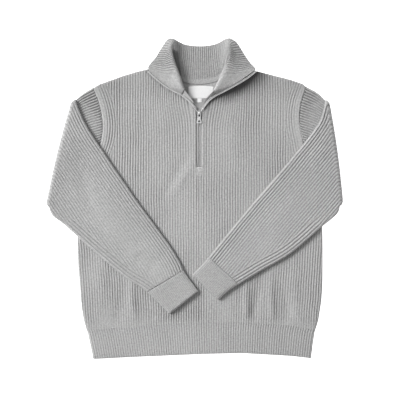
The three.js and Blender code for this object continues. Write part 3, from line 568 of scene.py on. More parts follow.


# The zip's place on the front: its slot, a line to its left and a lip to its right, and the cloth
# pressed down beside the open rows of teeth. Painted shade is added to the grooves' painted shade: a
# dark line left of the slot, a dark line under the left teeth, and a painted shadow of the right
# collar wing on the body beside the right teeth.
def press_zip(outer, groove_and_painted_shade):
    x, y = outer[..., 0], outer[..., 1]
    above_foot = ease((y - ZIP_FOOT_Y) / 2)
    closed = above_foot * ease((214 - y) / 4)
    slot = ease((SLOT_HALF - np.abs(x)) / 1.0) * above_foot
    left_line = bell(x + 7, 1.0) * closed
    right_lip = bell(x - 8.2, np.where(x < 8.2, 2.3, 7)) * closed
    outer[..., 2] += 1.5 * right_lip - 1.2 * slot - 1.2 * left_line
    left_row = bell(distance_to(smooth_path(LEFT_TEETH[5:], 150)[:, :2], x, y) - 3.4, 1.3)
    left_row *= ease((-9 - x) / 6)
    from_teeth = distance_to(smooth_path(RIGHT_TEETH[4:], 150)[:, :2], x, y)
    outside = ease((x - 8) / 8)
    beside = bell(from_teeth, 38) * outside
    right_row = bell(from_teeth, 9 + 15 * ease((x - 30) / 60)) * outside
    outer[..., 2] -= 1.1 * left_row + 1.3 * right_row
    return groove_and_painted_shade * (1 + 0.5 * beside) + 2.2 * left_line + 0.9 * left_row + 1.5 * right_row + 0.3 * beside


def front_panel():
    columns = front_columns()
    rows = np.concatenate([[0], np.linspace(0.0012, 0.982, FRONT_ROWS), [0.988, 0.993, 0.996, 0.9985, 1]])
    outer, tops = panel_grid(columns, rows, FRONT_TOP)
    x, y = outer[..., 0], outer[..., 1]
    below_top = tops - y
    below_arms = y < UNDERARM_Y
    edge = round_edge(rim_distance(x, y), np.where(below_arms, EDGE_ROUND, 4))
    neck = (np.abs(x) < 96) & (np.abs(x) > 7)
    edge *= np.where(neck, 0.3 + 0.7 * round_edge(below_top, 4), round_edge(below_top + 0.3, 8))
    low = np.where(below_arms, FRONT_INSIDE + 0.4, FRONT_INSIDE + 1.6)
    above_hem = y - height_on(HEM_SEAM, x)
    crest = FRONT_FACE + 1.25 * relief(x, y, FRONT_CREASES) * ease(above_hem / 26)
    height = low + (crest - low) * edge
    at_hem = 1 - ease(above_hem / 12)
    bold = boldness(x, y) * (1 - at_hem) + HEM_RIB_DEPTH / RIB_DEPTH * at_hem
    groove_and_painted_shade = edge * (1 - body_ribs(x, y)) * bold * unstretched(x, y)
    outer[..., 2] = height - RIB_DEPTH * groove_and_painted_shade
    shade = press_zip(outer, groove_and_painted_shade)
    # Painted shade: the front is darker towards its right side, near the shoulders and low down.
    shade += 0.03 + 0.2 * ease((x + 40) / 200) + 0.24 * ease((y - 225) / 50) + 0.1 * ease((-150 - y) / 100)
    slot = [c for c, column in enumerate(columns) if column[0] == 0 and abs(column[2]) in SLOT_COLUMNS]
    match = shared_columns(columns, INNER_STEP, slot)
    return body_layer("knit_front", outer, FRONT_INSIDE, match, shade)


# A hem band by shares of the way down: its points, its rounded form and its grooves.
def hem_form(columns, rows):
    outer = np.zeros((len(rows), len(columns), 3))
    draw = height_on(HEM_DRAW, rows)
    for c, column in enumerate(columns):
        top_x = float(column_x(column, EDGES[0, 0]))
        top = float(height_on(HEM_SEAM, top_x)) + HEM_SEAM_LAP
        bottom = float(height_on(HEM_BOTTOM, top_x * HEM_DRAW[-1, 1]))
        seam_x = float(column_x(column, top))
        outer[:, c, 0] = top_x * draw + HEM_LEAN * rows + (seam_x - top_x * draw[0]) * ease(1 - rows / 0.3)
        outer[:, c, 1] = top + (bottom - top) * rows
    x, down = outer[..., 0], rows[:, None]
    rim = np.minimum(x - x[:, :1], x[:, -1:] - x)
    form = round_edge(rim, EDGE_ROUND) * round_edge((1 - down) * HEM_TALL, 5)
    reach = np.abs(x - HEM_LEAN * down) / draw[:, None] * draw[0]
    groove_and_painted_shade = form * (1 - rib((reach - PLACKET_HALF) / rib_pitch(EDGES[0, 0])))
    return outer, form, groove_and_painted_shade


def front_hem():
    columns = front_columns()
    rows = np.concatenate([[0, 0.02, 0.05], np.linspace(0.09, 0.93, 16), [0.96, 0.98, 0.992, 1]])
    outer, form, groove_and_painted_shade = hem_form(columns, rows)
    low = FRONT_INSIDE + 0.4
    crest = low + (FRONT_FACE + 0.05 - low) * form
    outer[..., 2] = crest - HEM_RIB_DEPTH * groove_and_painted_shade
    x = outer[..., 0]
    # Painted shade: the hem's grooves darker, most at its top, and the hem darker towards its right side.
    shade = groove_and_painted_shade * (0.62 + 0.4 * np.exp(-rows / 0.1))[:, None] * (1 + 0.35 * ease(x / 220))
    shade += 0.13 + 0.2 * ease((x + 40) / 200)
    return body_layer("hem_front", outer, FRONT_INSIDE, shared_columns(columns, INNER_STEP), shade)


# The back from side to side. Its top follows shoulders and neckline, its underside has low ribs.
def back_panel():
    columns = back_columns()
    neck = BACK_NECK.copy()
    neck[:, 1] += NECK_SEAM_LAP * ease((80 - np.abs(neck[:, 0])) / 25)
    left = FRONT_TOP[FRONT_TOP[:, 0] < -94.5]
    right = FRONT_TOP[FRONT_TOP[:, 0] > 98.5]
    outer, _ = panel_grid(columns, np.linspace(0, 1, BACK_ROWS), np.concatenate([left, neck, right]))
    x, y = outer[..., 0], outer[..., 1]
    turned = 1 - round_edge(rim_distance(x, y), EDGE_ROUND)
    groove_and_painted_shade = (1 - rib((np.abs(x) - PLACKET_HALF) / rib_pitch(y))) * (1 - turned)
    outer[..., 2] = 1.5 * turned + BACK_RIB_DEPTH * groove_and_painted_shade
    match = shared_columns(columns, BACK_RIB_STEPS)
    # Painted shade: the upper side, seen inside the neck opening, is darkened by 0.6 all over.
    return body_layer("knit_back", outer, BACK_TOP + 0.8 * turned[:, match], match, groove_and_painted_shade, 0.6)


def back_hem():
    columns = back_columns()
    rows = np.concatenate([[0, 0.03], np.linspace(0.09, 0.93, 10), [0.97, 0.99, 1]])
    outer, form, groove_and_painted_shade = hem_form(columns, rows)
    outer[..., 2] = 1.6 * (1 - form) + BACK_RIB_DEPTH * groove_and_painted_shade
    match = shared_columns(columns, BACK_RIB_STEPS)
    return body_layer("hem_back", outer, BACK_TOP + 0.7 * (1 - form[:, match]), match, groove_and_painted_shade)


def armhole_bend(side, share):
    y = ARM_TOP_Y + (UNDERARM_Y - ARM_TOP_Y) * share
    top, under = half_width(side, ARM_TOP_Y), half_width(side, UNDERARM_Y)
    return side * (half_width(side, y) - (top + (under - top) * share))


def even_rows(table, count):
    knots = run_length((table[:, :2] + table[:, 2:4]) / 2)
    return smooth(knots, table, np.linspace(0, knots[-1], count))


# Rows of a sleeve: smooth up to the fold, a half turn around it, and smooth on to the end.
def sleeve_rows(table):
    before, turning, after = SLEEVE_ROWS
    turn = np.repeat(table[FOLD_ROW : FOLD_ROW + 1], turning, axis=0)
    turn[:, 4] = np.linspace(0, 180, turning + 2)[1:-1]
    flat, folded = table[: FOLD_ROW + 1], table[FOLD_ROW + 1 :]
    return np.concatenate([even_rows(flat, before), turn, even_rows(folded, after)])


def distance_to(line, x, y):
    gaps = np.full(x.shape, 1e9)
    for px, py in line:
        gaps = np.minimum(gaps, (x - px) ** 2 + (y - py) ** 2)
    return np.sqrt(gaps)


# An edge of the folded sleeve, run on straight past both of its ends.
def long_edge(points):
    knots = run_length(points)
    line = smooth(knots, points, np.arange(0, knots[-1], 2.5))
    first, last = line[0] - line[4], line[-1] - line[-5]
    reach = np.arange(0.25, 18, 0.25)[:, None]
    return np.concatenate([line[0] + reach * first, line, line[-1] + reach * last])


def wobble(x, y):
    return np.sin(y / 31 + x / 53) + 0.7 * np.sin(y / 17 - x / 37 + 1.3) + 0.5 * np.sin(y / 9.5 + x / 71)


# Ribs of a sleeve: square to the armhole on the cap, along the upper edge on the folded part,
# with a few bold ones along its lower edge. The rule gives the ribs and how bold they are, in depth and in
# painted shade.
def sleeve_ribs(side, table):
    folded = table[FOLD_ROW + 1 :]
    upper_line, lower_line = long_edge(folded[:, 0:2]), long_edge(folded[:, 2:4])

    def rule(share, long, past, x, y, along):
        beside = armhole_distance(side, x, y)
        # Painted shade: the cap's ribs never reach full height and are boldest near the armhole, so the cap
        # is darker than the rest of the sleeve.
        cap = 0.9 * rib(share * long / SLEEVE_PITCH)
        cap_boldness_and_shade = 2.3 - 1.1 * ease((beside - 24) / 24)
        upper, lower = distance_to(upper_line, x, y), distance_to(lower_line, x, y)
        crossing = ease((LOWER_RIBS + 4 - lower) / 4) * ease((along - 100) / 50)
        drift = 0.05 * wobble(x, y)
        over = rib(upper / SLEEVE_PITCH + drift)
        under = rib(lower / LOWER_PITCH + drift)
        ribs = over * (1 - crossing) + under * crossing
        most = 0.62 if side < 0 else 0.3
        faint = 1 - most * ease((along - 40) / 150) * bell(share - 0.52, 0.26)
        bold = faint + 0.4 * bell(upper, 16) + 0.08 * crossing + 0.05 * (side > 0)
        return cap * (1 - past) + ribs * past, cap_boldness_and_shade * (1 - past) + bold * past

    return rule


# A sleeve or cuff: a flattened tube with ribs outside, folded over where its rows turn.
def tube(name, rows, side, steps, depth, creases, rib_rule, ends):
    upper_x, upper_y, lower_x, lower_y, degrees, at_armhole = (rows[:, k : k + 1] for k in range(6))
    chord_x, chord_y = lower_x - upper_x, lower_y - upper_y
    long = np.hypot(chord_x, chord_y)
    inward = -side
    across_x, across_y = -chord_y / long * inward, chord_x / long * inward
    turn = np.radians(degrees)
    cosine = np.cos(turn)
    past = ease((degrees - 90) / 90)
    swing = np.concatenate([[0], np.cumsum(np.abs(np.diff(turn[:, 0])) * 8)])
    length_along = (run_length((rows[:, 0:2] + rows[:, 2:4]) / 2) + swing)[:, None]
    turning = (degrees > 60) & (degrees < 120)
    fold_at = length_along[turning].mean() if turning.any() else 0
    at_fold = bell(length_along - fold_at, 14) if fold_at else 0
    end_in = ends(np.arange(len(rows)))[:, None]

    def grid(count, hollow):
        order = np.arange(2 * count)
        front = order <= count
        whole = np.where(front, order / count, (2 * count - order) / count)[None, :]
        wall_share = SLEEVE_WALL / long
        share = wall_share + (1 - 2 * wall_share) * whole if hollow else whole * np.ones((len(rows), 1))
        rim = np.minimum(whole, 1 - whole) * long
        edge = round_edge(rim, 4 if hollow else SLEEVE_EDGE)
        half = (0.6 if hollow else SLEEVE_HALF) + past * SLEEVE_LOFT
        pulled = (6 * (1 - round_edge(rim, 16)) - 3.6 * np.sin(math.pi * whole)) * at_fold
        thickness = half * edge * end_in
        flat_x, flat_y = upper_x + chord_x * share, upper_y + chord_y * share
        groove_and_painted_shade = np.zeros_like(thickness)
        if not hollow:
            ribs, strength = rib_rule(share, long, past, flat_x, flat_y, length_along - fold_at)
            seen = np.where(front, cosine > 0.2, cosine < 0.6)
            groove_and_painted_shade = strength * (1 - ribs) * edge * seen
            thickness = thickness - depth * np.minimum(groove_and_painted_shade, 1.4) * (1 - 0.6 * at_fold)
        rise = thickness * np.where(front, 1.0, -1.0)
        reach = (rise - FOLD_RADIUS) * np.sin(turn) + pulled
        x = flat_x + across_x * reach + at_armhole * armhole_bend(side, share)
        y = flat_y + across_y * reach
        z = FOLD_AXIS_Z - (FOLD_RADIUS - rise) * cosine + SLEEVE_LOFT * past
        z = z + past * relief(x, y, creases) * edge * np.where(front, 0.0, 1.0)
        uv = np.stack([share * long, length_along * np.ones_like(share)], axis=-1)
        return np.stack([x, y, z], axis=-1), uv, groove_and_painted_shade

    outer, uv, groove_and_painted_shade = grid(steps, False)
    # Painted shade: the right sleeve and right cuff darker all over.
    groove_and_painted_shade += 0.13 * (side > 0)
    inner, inner_uv, _ = grid(steps // TUBE_INNER_STEP, True)
    match = list(range(0, 2 * steps, TUBE_INNER_STEP))
    return wall(name, outer, inner, match, uv, KNIT, groove_and_painted_shade, closed=True, inner_uv=inner_uv)


def cuff_ribs(share, long, past, x, y, along):
    reach = share * long
    return 0.9 * rib(reach / CUFF_PITCH), 0.75 + 0.6 * (bell(reach, 9) + bell(long - reach, 9))


def sleeve_end(i):
    last = len(i) - 1
    return 0.75 + 0.25 * round_edge(i, 3) - 0.02 * (1 - round_edge(last - i, 4))


def cuff_end(i):
    last = len(i) - 1
    return (0.98 + 0.1 * bell(i - 3.5, 2.5)) * (0.25 + 0.75 * round_edge(last - i, 3))


def sleeve(side, name, table, creases):
    rows, ribs = sleeve_rows(table), sleeve_ribs(side, table)
    return tube(name, rows, side, SLEEVE_STEPS, SLEEVE_RIB_DEPTH, creases, ribs, sleeve_end)


def cuff(side, name, table, creases):
    rows = even_rows(table, CUFF_ROWS)
    return tube(name, rows, side, CUFF_STEPS, CUFF_RIB_DEPTH, creases, cuff_ribs, cuff_end)


def collar_surface(along, up):
    section = smooth(COLLAR[:, 0], COLLAR[:, 1:], along).reshape(-1, 4, 3)
    surface = np.zeros((len(up), len(along), 3))
    for c in range(len(along)):
        knots = np.concatenate([[0], np.cumsum(np.linalg.norm(np.diff(section[c], axis=0), axis=1))])
        surface[:, c] = smooth(knots / knots[-1], section[c], up)
    return surface


# Shade of the collar's foot, neck and inner walls and its left wing, by place along it and height.
def collar_shade(along, foot):
    inside = ease((70 - np.abs(along)) / 20)
    wall_top = np.interp(along, [-146, -130, -112, -95, -80], [0.3, 0.44, 0.56, 0.66, 0.74])
    left_wall = ease((-50 - along) / 12) * ease((along + 146) / 14) * ease((wall_top - foot) / 0.08)
    right_wall = ease((along - 60) / 12) * ease((135 - along) / 16) * ease((0.45 - foot) / 0.08)
    left_wing = ease((-60 - along) / 20) * ease((foot - 0.4) / 0.1)
    at_seam = 1.3 * ease((0.02 - foot) / 0.02)
    return at_seam + 0.36 * inside + 1.35 * left_wall + 0.3 * right_wall + 0.3 * left_wing


def collar():
    steps = COLLAR_RIBS * COLLAR_RIB_STEPS
    first, last = COLLAR[0, 0], COLLAR[-1, 0]
    along = np.linspace(first, last, steps + 1)
    up = np.concatenate([[0, 0.012, 0.03], np.linspace(0.06, 0.97, 34), [0.985, 0.995, 1]])
    foot = up[:, None]
    middle = collar_surface(along, up)
    normal = np.cross(np.gradient(middle, axis=1), np.gradient(middle, axis=0))
    normal /= np.linalg.norm(normal, axis=-1, keepdims=True)
    end = np.minimum(along - first, last - along)
    ribbed = ease((end - 10) / 36) * ease((foot - 0.12) / 0.03)
    ribs = rib((along - first) / (last - first) * COLLAR_RIBS)
    on_wing = ease((np.abs(along) - 70) / 30) * ease((foot - 0.4) / 0.1)
    groove_and_painted_shade = ribbed * (1 - ribs) * (1 + 0.45 * on_wing)
    edge = 0.3 + 0.7 * (round_edge((1 - foot) * 60, 3) * (0.5 + 0.5 * round_edge(end, 3)))
    outer = middle + normal * ((COLLAR_HALF - COLLAR_RIB_DEPTH * groove_and_painted_shade) * edge)[..., None]
    match = list(range(0, steps + 1, COLLAR_RIB_STEPS))
    inner = (middle - normal * COLLAR_HALF * edge[..., None])[:, match]
    outer[..., 2] = np.maximum(outer[..., 2], 0.05)
    inner[..., 2] = np.maximum(inner[..., 2], 0)
    uv = np.stack(np.broadcast_arrays(along, foot * COLLAR_TALL), axis=-1)
    return wall("collar_roll", outer, inner, match, uv, KNIT, groove_and_painted_shade + collar_shade(along, foot))


def facing(name, table):
    knots = np.array([0, 1, 2])
    stations = smooth(knots, table, np.linspace(0, 2, 15)).reshape(-1, 3, 3)
    shares = np.linspace(0, 2, 13)
    middle = np.stack([smooth(knots, station, shares) for station in stations])
    lift = np.array([0, 0, 0.8])
    return wall(name, middle + lift, middle - lift, list(range(len(shares))), middle[..., :2], FACING)


# A closed loop of points between an ellipse (power 1) and a rectangle (power near 0).
def squared_loop(count, half_x, half_y, power, turn=0.0):
    angle = np.linspace(0, 2 * math.pi, count, endpoint=False) + turn
    x = np.sign(np.cos(angle)) * np.abs(np.cos(angle)) ** power * half_x
    y = np.sign(np.sin(angle)) * np.abs(np.sin(angle)) ** power * half_y
    return np.stack([x, y], axis=1)


def tape(name, table):
    path = smooth_path(table, 120)
    tangent = directions(path)
    side = np.stack([-tangent[:, 1], tangent[:, 0], np.zeros(len(path))], axis=1)
    section = squared_loop(8, TAPE_WIDE / 2, TAPE_THICK / 2, 0.45, math.pi / 8)
    lift = np.array([0, 0, 1.0])
    rings = path[:, None] + side[:, None] * section[None, :, :1] + lift * section[None, :, 1:]
    return bar(name, rings, TAPE)


# One row of separate teeth, each a small block with a domed head, joined in one mesh.
def teeth(name, table, side):
    count = int(run_length(table[:, :2])[-1] / TOOTH_PITCH)
    path = smooth_path(table, count)
    tangent = directions(path)
    base = np.array([(-0.5, -0.5), (0.5, -0.5), (0.5, 0.5), (-0.5, 0.5)])
    levels = [(-1.0, 1.0), (0.55, 1.0), (0.95, 0.86), (1.1, 0.6)]
    points, faces, shade = [], [], []
    for i in range(count):
        t = tangent[i]
        n = np.array([-t[1], t[0]]) * (1 if side < 0 else -1)
        closed = path[i, 1] < TEETH_PART_Y
        shift = 0.5 if (closed and side > 0) else 0.0
        inward = -0.5 if closed else 0.0
        tall, wide = (0.95, 2.2) if closed else (1.5, 2.3)
        start = len(points)
        for z, size in levels:
            for u, v in base:
                along = (u * tall * size + shift * TOOTH_PITCH) * t
                reach = (v * wide * size + inward) * n
                at = path[i, :2] + along + reach
                points.append((at[0], at[1], path[i, 2] + z))
                # Painted shade: closed teeth are darker, and a painted shadow of the pull tab lies on them
                # just below its hole; open teeth are a little darker all over.
                under_pull = math.exp(-(((at[1] - PULL_HOLE_Y + 2) / 6) ** 2))
                shade.append(0.15 + 0.75 * under_pull if closed else 0.1)
        faces += grid_faces(len(levels), 4, base=start)
        faces.append([start + 3, start + 2, start + 1, start])
        faces.append([start + 12, start + 13, start + 14, start + 15])
    points = np.array(points)
    return make_object(name, points, faces, points[:, :2], TEETH, smooth_count=0, groove_and_painted_shade=shade)


def label_plate(name, centre_x, centre_y, wide, tall, dome):
    u, v = np.meshgrid(np.linspace(-0.5, 0.5, 25), np.linspace(-0.5, 0.5, 13))
    x = centre_x + u * wide
    y = centre_y + v * tall - dome / 2 + dome * (1 - 4 * u * u) * (v + 0.5)
    rim = np.minimum((0.5 - np.abs(u)) * wide, (0.5 - np.abs(v)) * tall)
    wave = 0.25 * np.sin(u * 7 + 1) * np.cos(v * 3)
    top = np.stack([x, y, LABEL_LEVEL + 0.55 + wave - 0.25 * (1 - round_edge(rim, 1))], axis=-1)
    low = top.copy()
    low[..., 2] -= 0.4
    return wall(name, top, low, list(range(25)), np.stack([u * wide, v * tall], axis=-1), LABEL)


def end_bar():
    angle = np.linspace(0, 2 * math.pi, 10, endpoint=False)
    rings = []
    for share in np.linspace(0, 1, 19):
        x = 1 + (share - 0.5) * 15
        y = 77.8 - 1.8 * 4 * (share - 0.5) ** 2
        tip = round_edge(min(share, 1 - share), 0.12)
        rings.append([(x, y + 1.3 * tip * math.cos(a), 7.9 + 1.1 * tip * math.sin(a)) for a in angle])
    return bar("zip_end_stitch", rings, THREAD)


def mirrored(side):
    right = np.stack([side[:, 1], side[:, 0]], axis=1)
    return np.concatenate([right, right[::-1] * np.array([-1, 1])])


def oval(centre_y, half_x, half_y, power):
    return squared_loop(32, half_x, half_y, power) + np.array([0, centre_y])


# A plate with rounded rims and holes: the first loop is its outline and the others are cut out.
def rounded_plate(loops, low, thick, bevel):
    curve = bpy.data.curves.new("plate", "CURVE")
    curve.dimensions = "2D"
    curve.fill_mode = "BOTH"
    curve.extrude = thick / 2 - bevel
    curve.bevel_depth = bevel
    curve.bevel_resolution = 2
    curve.offset = -bevel
    for loop in loops:
        spline = curve.splines.new("POLY")
        spline.points.add(len(loop) - 1)
        for point, (x, y) in zip(spline.points, loop):
            point.co = (x, y, 0, 1)
        spline.use_cyclic_u = True
    holder = bpy.data.objects.new("plate", curve)
    mesh = bpy.data.meshes.new_from_object(holder)
    points = np.array([vertex.co[:] for vertex in mesh.vertices]) + np.array([0, 0, low + thick / 2])
    faces = [list(polygon.vertices) for polygon in mesh.polygons]
    bpy.data.objects.remove(holder)
    bpy.data.meshes.remove(mesh)
    bpy.data.curves.remove(curve)
    return points, faces


def joined(parts):
    points, faces = [], []
    for part_points, part_faces in parts:
        base = sum(len(group) for group in points)
        points.append(part_points)
        faces += [[base + corner for corner in face] for face in part_faces]
    return np.concatenate(points), faces


def bridge():
    path = smooth_path(BRIDGE_PATH, 40)
    section = oval(0, 1.5, 0.65, 0.6)
    points = []
    for (y, z), (ty, tz) in zip(path, directions(path)):
        points += [(across, y + tz * up, z - ty * up) for across, up in section]
    wide = len(section)
    faces = grid_faces(len(path), wide)
    faces.append(list(range(wide)))
    faces.append([(len(path) - 1) * wide + c for c in range(wide)])
    return np.array(points), faces


def slider():
    outline = mirrored(SLIDER_SIDE)
    top = rounded_plate([outline], 9.5, 1.3, 0.4)
    bottom = rounded_plate([outline * np.array([0.86, 1])], 3, 0.7, 0.2)
    nose = rounded_plate([oval(212.9, 1, 1.4, 1)], 3.2, 6.8, 0.1)
    # A thin disc under the pull's window, painted near black as a painted shadow.
    painted_shadow_disc = rounded_plate([oval(201.5, 2.6, 2.2, 0.8)], 10.75, 0.12, 0.03)
    arch = bridge()
    points, faces = joined([top, bottom, nose, painted_shadow_disc, arch])
    # Painted shade: the plates and nose half darkened, the bridge left bright, and the disc near black.
    deep = np.full(len(points), 0.5)
    deep[-len(arch[0]) - len(painted_shadow_disc[0]) : -len(arch[0])] = 1
    deep[-len(arch[0]) :] = 0
    return make_object("slider_body", points, faces, points[:, :2], METAL, smooth_count=0, groove_and_painted_shade=deep)


def pull():
    window = oval(202.6, 2.1, 3, 0.5)
    hole = oval(PULL_HOLE_Y, 3, 2, 1)
    points, faces = rounded_plate([mirrored(PULL_SIDE), window, hole], -PULL_THICK / 2, PULL_THICK, 0.35)
    droop = math.radians(PULL_DROOP)
    back = points[:, 1] - HINGE_Y
    height = points[:, 2].copy()
    points[:, 1] = HINGE_Y + back * math.cos(droop) - height * math.sin(droop)
    points[:, 2] = HINGE_Z + back * math.sin(droop) + height * math.cos(droop)
    return make_object("pull_plate", points, faces, points[:, :2], METAL, "pull_tab", 0)


class Shader:
    NAMES = dict(base="Base Color", rough="Roughness", metal="Metallic", normal="Normal")
    NAMES.update(sheen="Sheen Weight", sheen_rough="Sheen Roughness", specular="Specular IOR Level")
    NAMES.update(glow_colour="Emission Color", glow="Emission Strength")

    def __init__(self, name):
        self.material = bpy.data.materials.new(name)
        self.material.use_nodes = True
        self.tree = self.material.node_tree

    def node(self, kind, inputs=None, **settings):
        made = self.tree.nodes.new(kind)
        for key, value in settings.items():
            setattr(made, key, value)
        for key, value in (inputs or {}).items():
            self.feed(made.inputs[key], value)
        return made

    def feed(self, socket, value):
        if isinstance(value, bpy.types.NodeSocket):
            self.tree.links.new(value, socket)
        else:
            socket.default_value = value

    def math(self, operation, *values):
        return self.node("ShaderNodeMath", dict(enumerate(values)), operation=operation).outputs[0]

    def times(self, first, second):
        return self.math("MULTIPLY", first, second)

    def mix(self, share, low, high):
        return self.node("ShaderNodeMix", {0: share, 6: low, 7: high}, data_type="RGBA").outputs[2]

    def place(self):
        return self.node("ShaderNodeTexCoord").outputs["Object"]

    def uv(self):
        uv = self.node("ShaderNodeUVMap", uv_map="UVMap").outputs[0]
        return self.node("ShaderNodeSeparateXYZ", {0: uv}).outputs

    def groove_and_painted_shade(self):
        return self.node("ShaderNodeAttribute", attribute_name="groove_and_painted_shade").outputs["Fac"]

    def noise(self, where, scale, detail, rough=0.5):
        inputs = {"Vector": where, "Scale": scale, "Detail": detail, "Roughness": rough}
        return self.node("ShaderNodeTexNoise", inputs).outputs[0]

    def bump(self, strength, distance, height):
        inputs = {"Strength": strength, "Distance": distance, "Height": height}
        self.set(normal=self.node("ShaderNodeBump", inputs).outputs[0])

    def set(self, **values):
        surface = self.tree.nodes["Principled BSDF"]
        for key, value in values.items():
            self.feed(surface.inputs[self.NAMES[key]], value)


def grey(level, warm=0.0):
    return (level * (1 + warm), level, level * (1 - warm), 1)


# Marl knit: two greys of fibre in the yarn, the V of each stitch as bump and as painted light and
# shade in the colour, a soft nap, and painted shade that the mesh attribute mixes in towards dark grey.
def knit_material(name, dark, light, wale, course, bump, blotch):
    s = Shader(name)
    uv = s.uv()
    across = s.math("DIVIDE", uv[0], wale * MM)
    leg = s.math("ABSOLUTE", s.math("SUBTRACT", s.math("FRACT", across), 0.5))
    row = s.math("DIVIDE", uv[1], course * MM)
    slant = s.math("SUBTRACT", row, s.times(leg, 1.1))
    wave = s.math("SINE", s.times(slant, 2 * math.pi))
    off_crown = s.math("ABSOLUTE", s.math("SUBTRACT", leg, 0.25))
    crown = s.math("SUBTRACT", 1.0, s.times(off_crown, 2.6))
    stitch = s.times(s.math("MULTIPLY_ADD", wave, 0.5, 0.5), crown)
    where = s.place()
    fibre = s.noise(where, 900.0, 4.0, 0.75)
    marl = s.noise(where, 260.0, 3.0, 0.6)
    broad = s.noise(where, 9.0, 2.0)
    mixed = s.math("MULTIPLY_ADD", fibre, 0.6, s.times(marl, 0.6))
    sharp = s.node("ShaderNodeMapRange", {0: mixed, 1: 0.42, 2: 0.78, 3: 0.0, 4: 1.0}).outputs[0]
    patch = s.math("MULTIPLY_ADD", s.math("SUBTRACT", broad, 0.5), blotch, sharp)
    # Share of the lighter grey: marl patches, and the stitch legs lighter in their middles and darker
    # between them as painted light and shade.
    deep = s.math("MULTIPLY_ADD", stitch, 0.25, s.times(patch, 0.85))
    # Painted shade: the mesh attribute mixes the colour towards dark grey.
    shaded = s.times(s.groove_and_painted_shade(), GROOVE_SHADE)
    s.set(base=s.mix(shaded, s.mix(deep, dark, light), grey(0.1)))
    s.set(rough=0.93, sheen=0.2, sheen_rough=0.6, specular=0.2)
    s.bump(bump, 0.0006, s.math("MULTIPLY_ADD", fibre, 0.35, stitch))
    return s.material


def woven_material(name, dark, light, pitch, rough):
    s = Shader(name)
    uv = s.uv()
    turns = 2 * math.pi / (pitch * MM)
    warp = s.math("SINE", s.times(uv[0], turns))
    weft = s.math("SINE", s.times(uv[1], turns))
    weave = s.math("MULTIPLY_ADD", s.times(warp, weft), 0.5, 0.5)
    noise = s.noise(s.place(), 500.0, 3.0)
    share = s.math("MULTIPLY_ADD", noise, 0.5, s.times(weave, 0.5))
    s.set(base=s.mix(share, dark, light), rough=rough, sheen=0.1, specular=0.3)
    s.bump(0.3, 0.0002, weave)
    return s.material


def metal_material(name, dark, light, rough, shine):
    s = Shader(name)
    where = s.place()
    stretched = s.node("ShaderNodeMapping", {"Vector": where, "Scale": (2600.0, 260.0, 900.0)})
    brushed = s.noise(stretched.outputs[0], 1.0, 3.0)
    wear = s.noise(where, 300.0, 2.0)
    share = s.math("MULTIPLY_ADD", brushed, 0.6, s.times(wear, 0.4))
    scuffs = {0: wear, 1: 0.3, 2: 0.7, 3: rough - 0.08, 4: rough + 0.12}
    scuffed = s.node("ShaderNodeMapRange", scuffs).outputs[0]
    # Painted shade: the mesh attribute mixes the metal's colour towards near black.
    s.set(base=s.mix(s.groove_and_painted_shade(), s.mix(share, dark, light), grey(0.03)), metal=shine, rough=scuffed)
    s.bump(0.12, 0.0001, brushed)
    return s.material


def floor_material():
    s = Shader("floor_white")
    s.set(base=grey(0.9), rough=0.9, glow_colour=(1, 1, 1, 1), glow=FLOOR_GLOW)
    return s.material


KNIT = knit_material("marl_knit", grey(0.27, 0.002), grey(0.61, 0.002), 2.1, 1.7, 0.6, 0.35)
FACING = knit_material("plain_knit", grey(0.36, 0.002), grey(0.56, 0.002), 1.3, 1.1, 0.35, 0.2)
THREAD = knit_material("stitch_thread", grey(0.55), grey(0.8), 0.8, 0.6, 0.5, 0.1)
TAPE = woven_material("zip_tape", grey(0.42), grey(0.54), 0.8, 0.8)
LABEL = woven_material("label_cloth", grey(0.64), grey(0.80), 0.7, 0.7)
TEETH = metal_material("zip_teeth", grey(0.72), grey(0.90), 0.4, 0.3)
METAL = metal_material("zip_metal", grey(0.70), grey(0.88), 0.3, 0.8)


def sun(name, where, spread, strength):
    data = bpy.data.lights.new(name, "SUN")
    data.angle = math.radians(spread)
    data.energy = strength
    obj = add_object(name, data)
    obj.location = where
    obj.rotation_euler = (-Vector(where)).to_track_quat("-Z", "Y").to_euler()


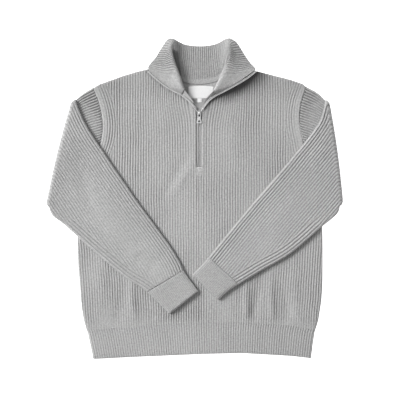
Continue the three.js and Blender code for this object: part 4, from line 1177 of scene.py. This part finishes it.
def studio():
    half = FLOOR_HALF
    corners = [(x, y, FLOOR_LEVEL) for x, y in ((-half, -half), (half, -half), (half, half), (-half, half))]
    mesh = bpy.data.meshes.new("studio_floor")
    mesh.from_pydata(corners, [], [[0, 1, 2, 3]])
    mesh.materials.append(floor_material())
    add_object("studio_floor", mesh)
    world = bpy.data.worlds.new("studio")
    world.use_nodes = True
    colour, strength = world.node_tree.nodes["Background"].inputs[:2]
    colour.default_value = (1, 1, 1, 1)
    strength.default_value = WORLD_LIGHT
    bpy.context.scene.world = world
    bpy.context.scene.view_settings.view_transform = "Standard"
    sun("key", (-1.75, 0.95, 1.5), 23, KEY_POWER)
    sun("fill", (-0.5, 0.6, 2.2), 60, FILL_POWER)


def camera():
    data = bpy.data.cameras.new("camera")
    data.sensor_width = SENSOR_WIDTH
    data.lens = SENSOR_WIDTH * CAMERA_HEIGHT / PICTURE_WIDTH
    obj = add_object("camera", data)
    centre = place(np.array([PICTURE_CENTRE_X, 0.0, 0.0]))
    obj.location = (centre[0], centre[1], CAMERA_HEIGHT + 0.008)
    bpy.context.scene.camera = obj


def declare(piece, node):
    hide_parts(node)


camera()
studio()

declare(back_panel(), "back_panel")
declare(front_panel(), "front_panel")
declare(back_hem(), "back_hem")
declare(front_hem(), "front_hem")
left_sleeve = sleeve(-1, "sleeve_left", LEFT_SLEEVE, LEFT_SLEEVE_CREASES)
right_sleeve = sleeve(1, "sleeve_right", RIGHT_SLEEVE, RIGHT_SLEEVE_CREASES)
declare(left_sleeve, "left_sleeve")
declare(right_sleeve, "right_sleeve")
left_cuff = cuff(-1, "cuff_left", LEFT_CUFF, LEFT_SLEEVE_CREASES)
right_cuff = cuff(1, "cuff_right", RIGHT_CUFF, RIGHT_SLEEVE_CREASES)
declare(left_cuff, "left_cuff")
declare(right_cuff, "right_cuff")
declare(collar(), "collar")
declare(facing("facing_left", LEFT_FACING), "left_facing")
declare(facing("facing_right", RIGHT_FACING), "right_facing")
declare(tape("tape_left", LEFT_TAPE), "left_zip_tape")
declare(tape("tape_right", RIGHT_TAPE), "right_zip_tape")
declare(teeth("teeth_left", LEFT_TEETH, -1), "left_zip_teeth")
declare(teeth("teeth_right", RIGHT_TEETH, 1), "right_zip_teeth")
declare(slider(), "zip_slider")
declare(pull(), "zip_pull")
declare(end_bar(), "zip_end_bar")
neck_label = label_plate("label_neck", 4.6, 259.2, 61, 28.6, 2.2)
size_tab = label_plate("label_size", 1, 239.4, 10.4, 9.8, 0)
declare(neck_label, "neck_label")
declare(size_tab, "size_tab")
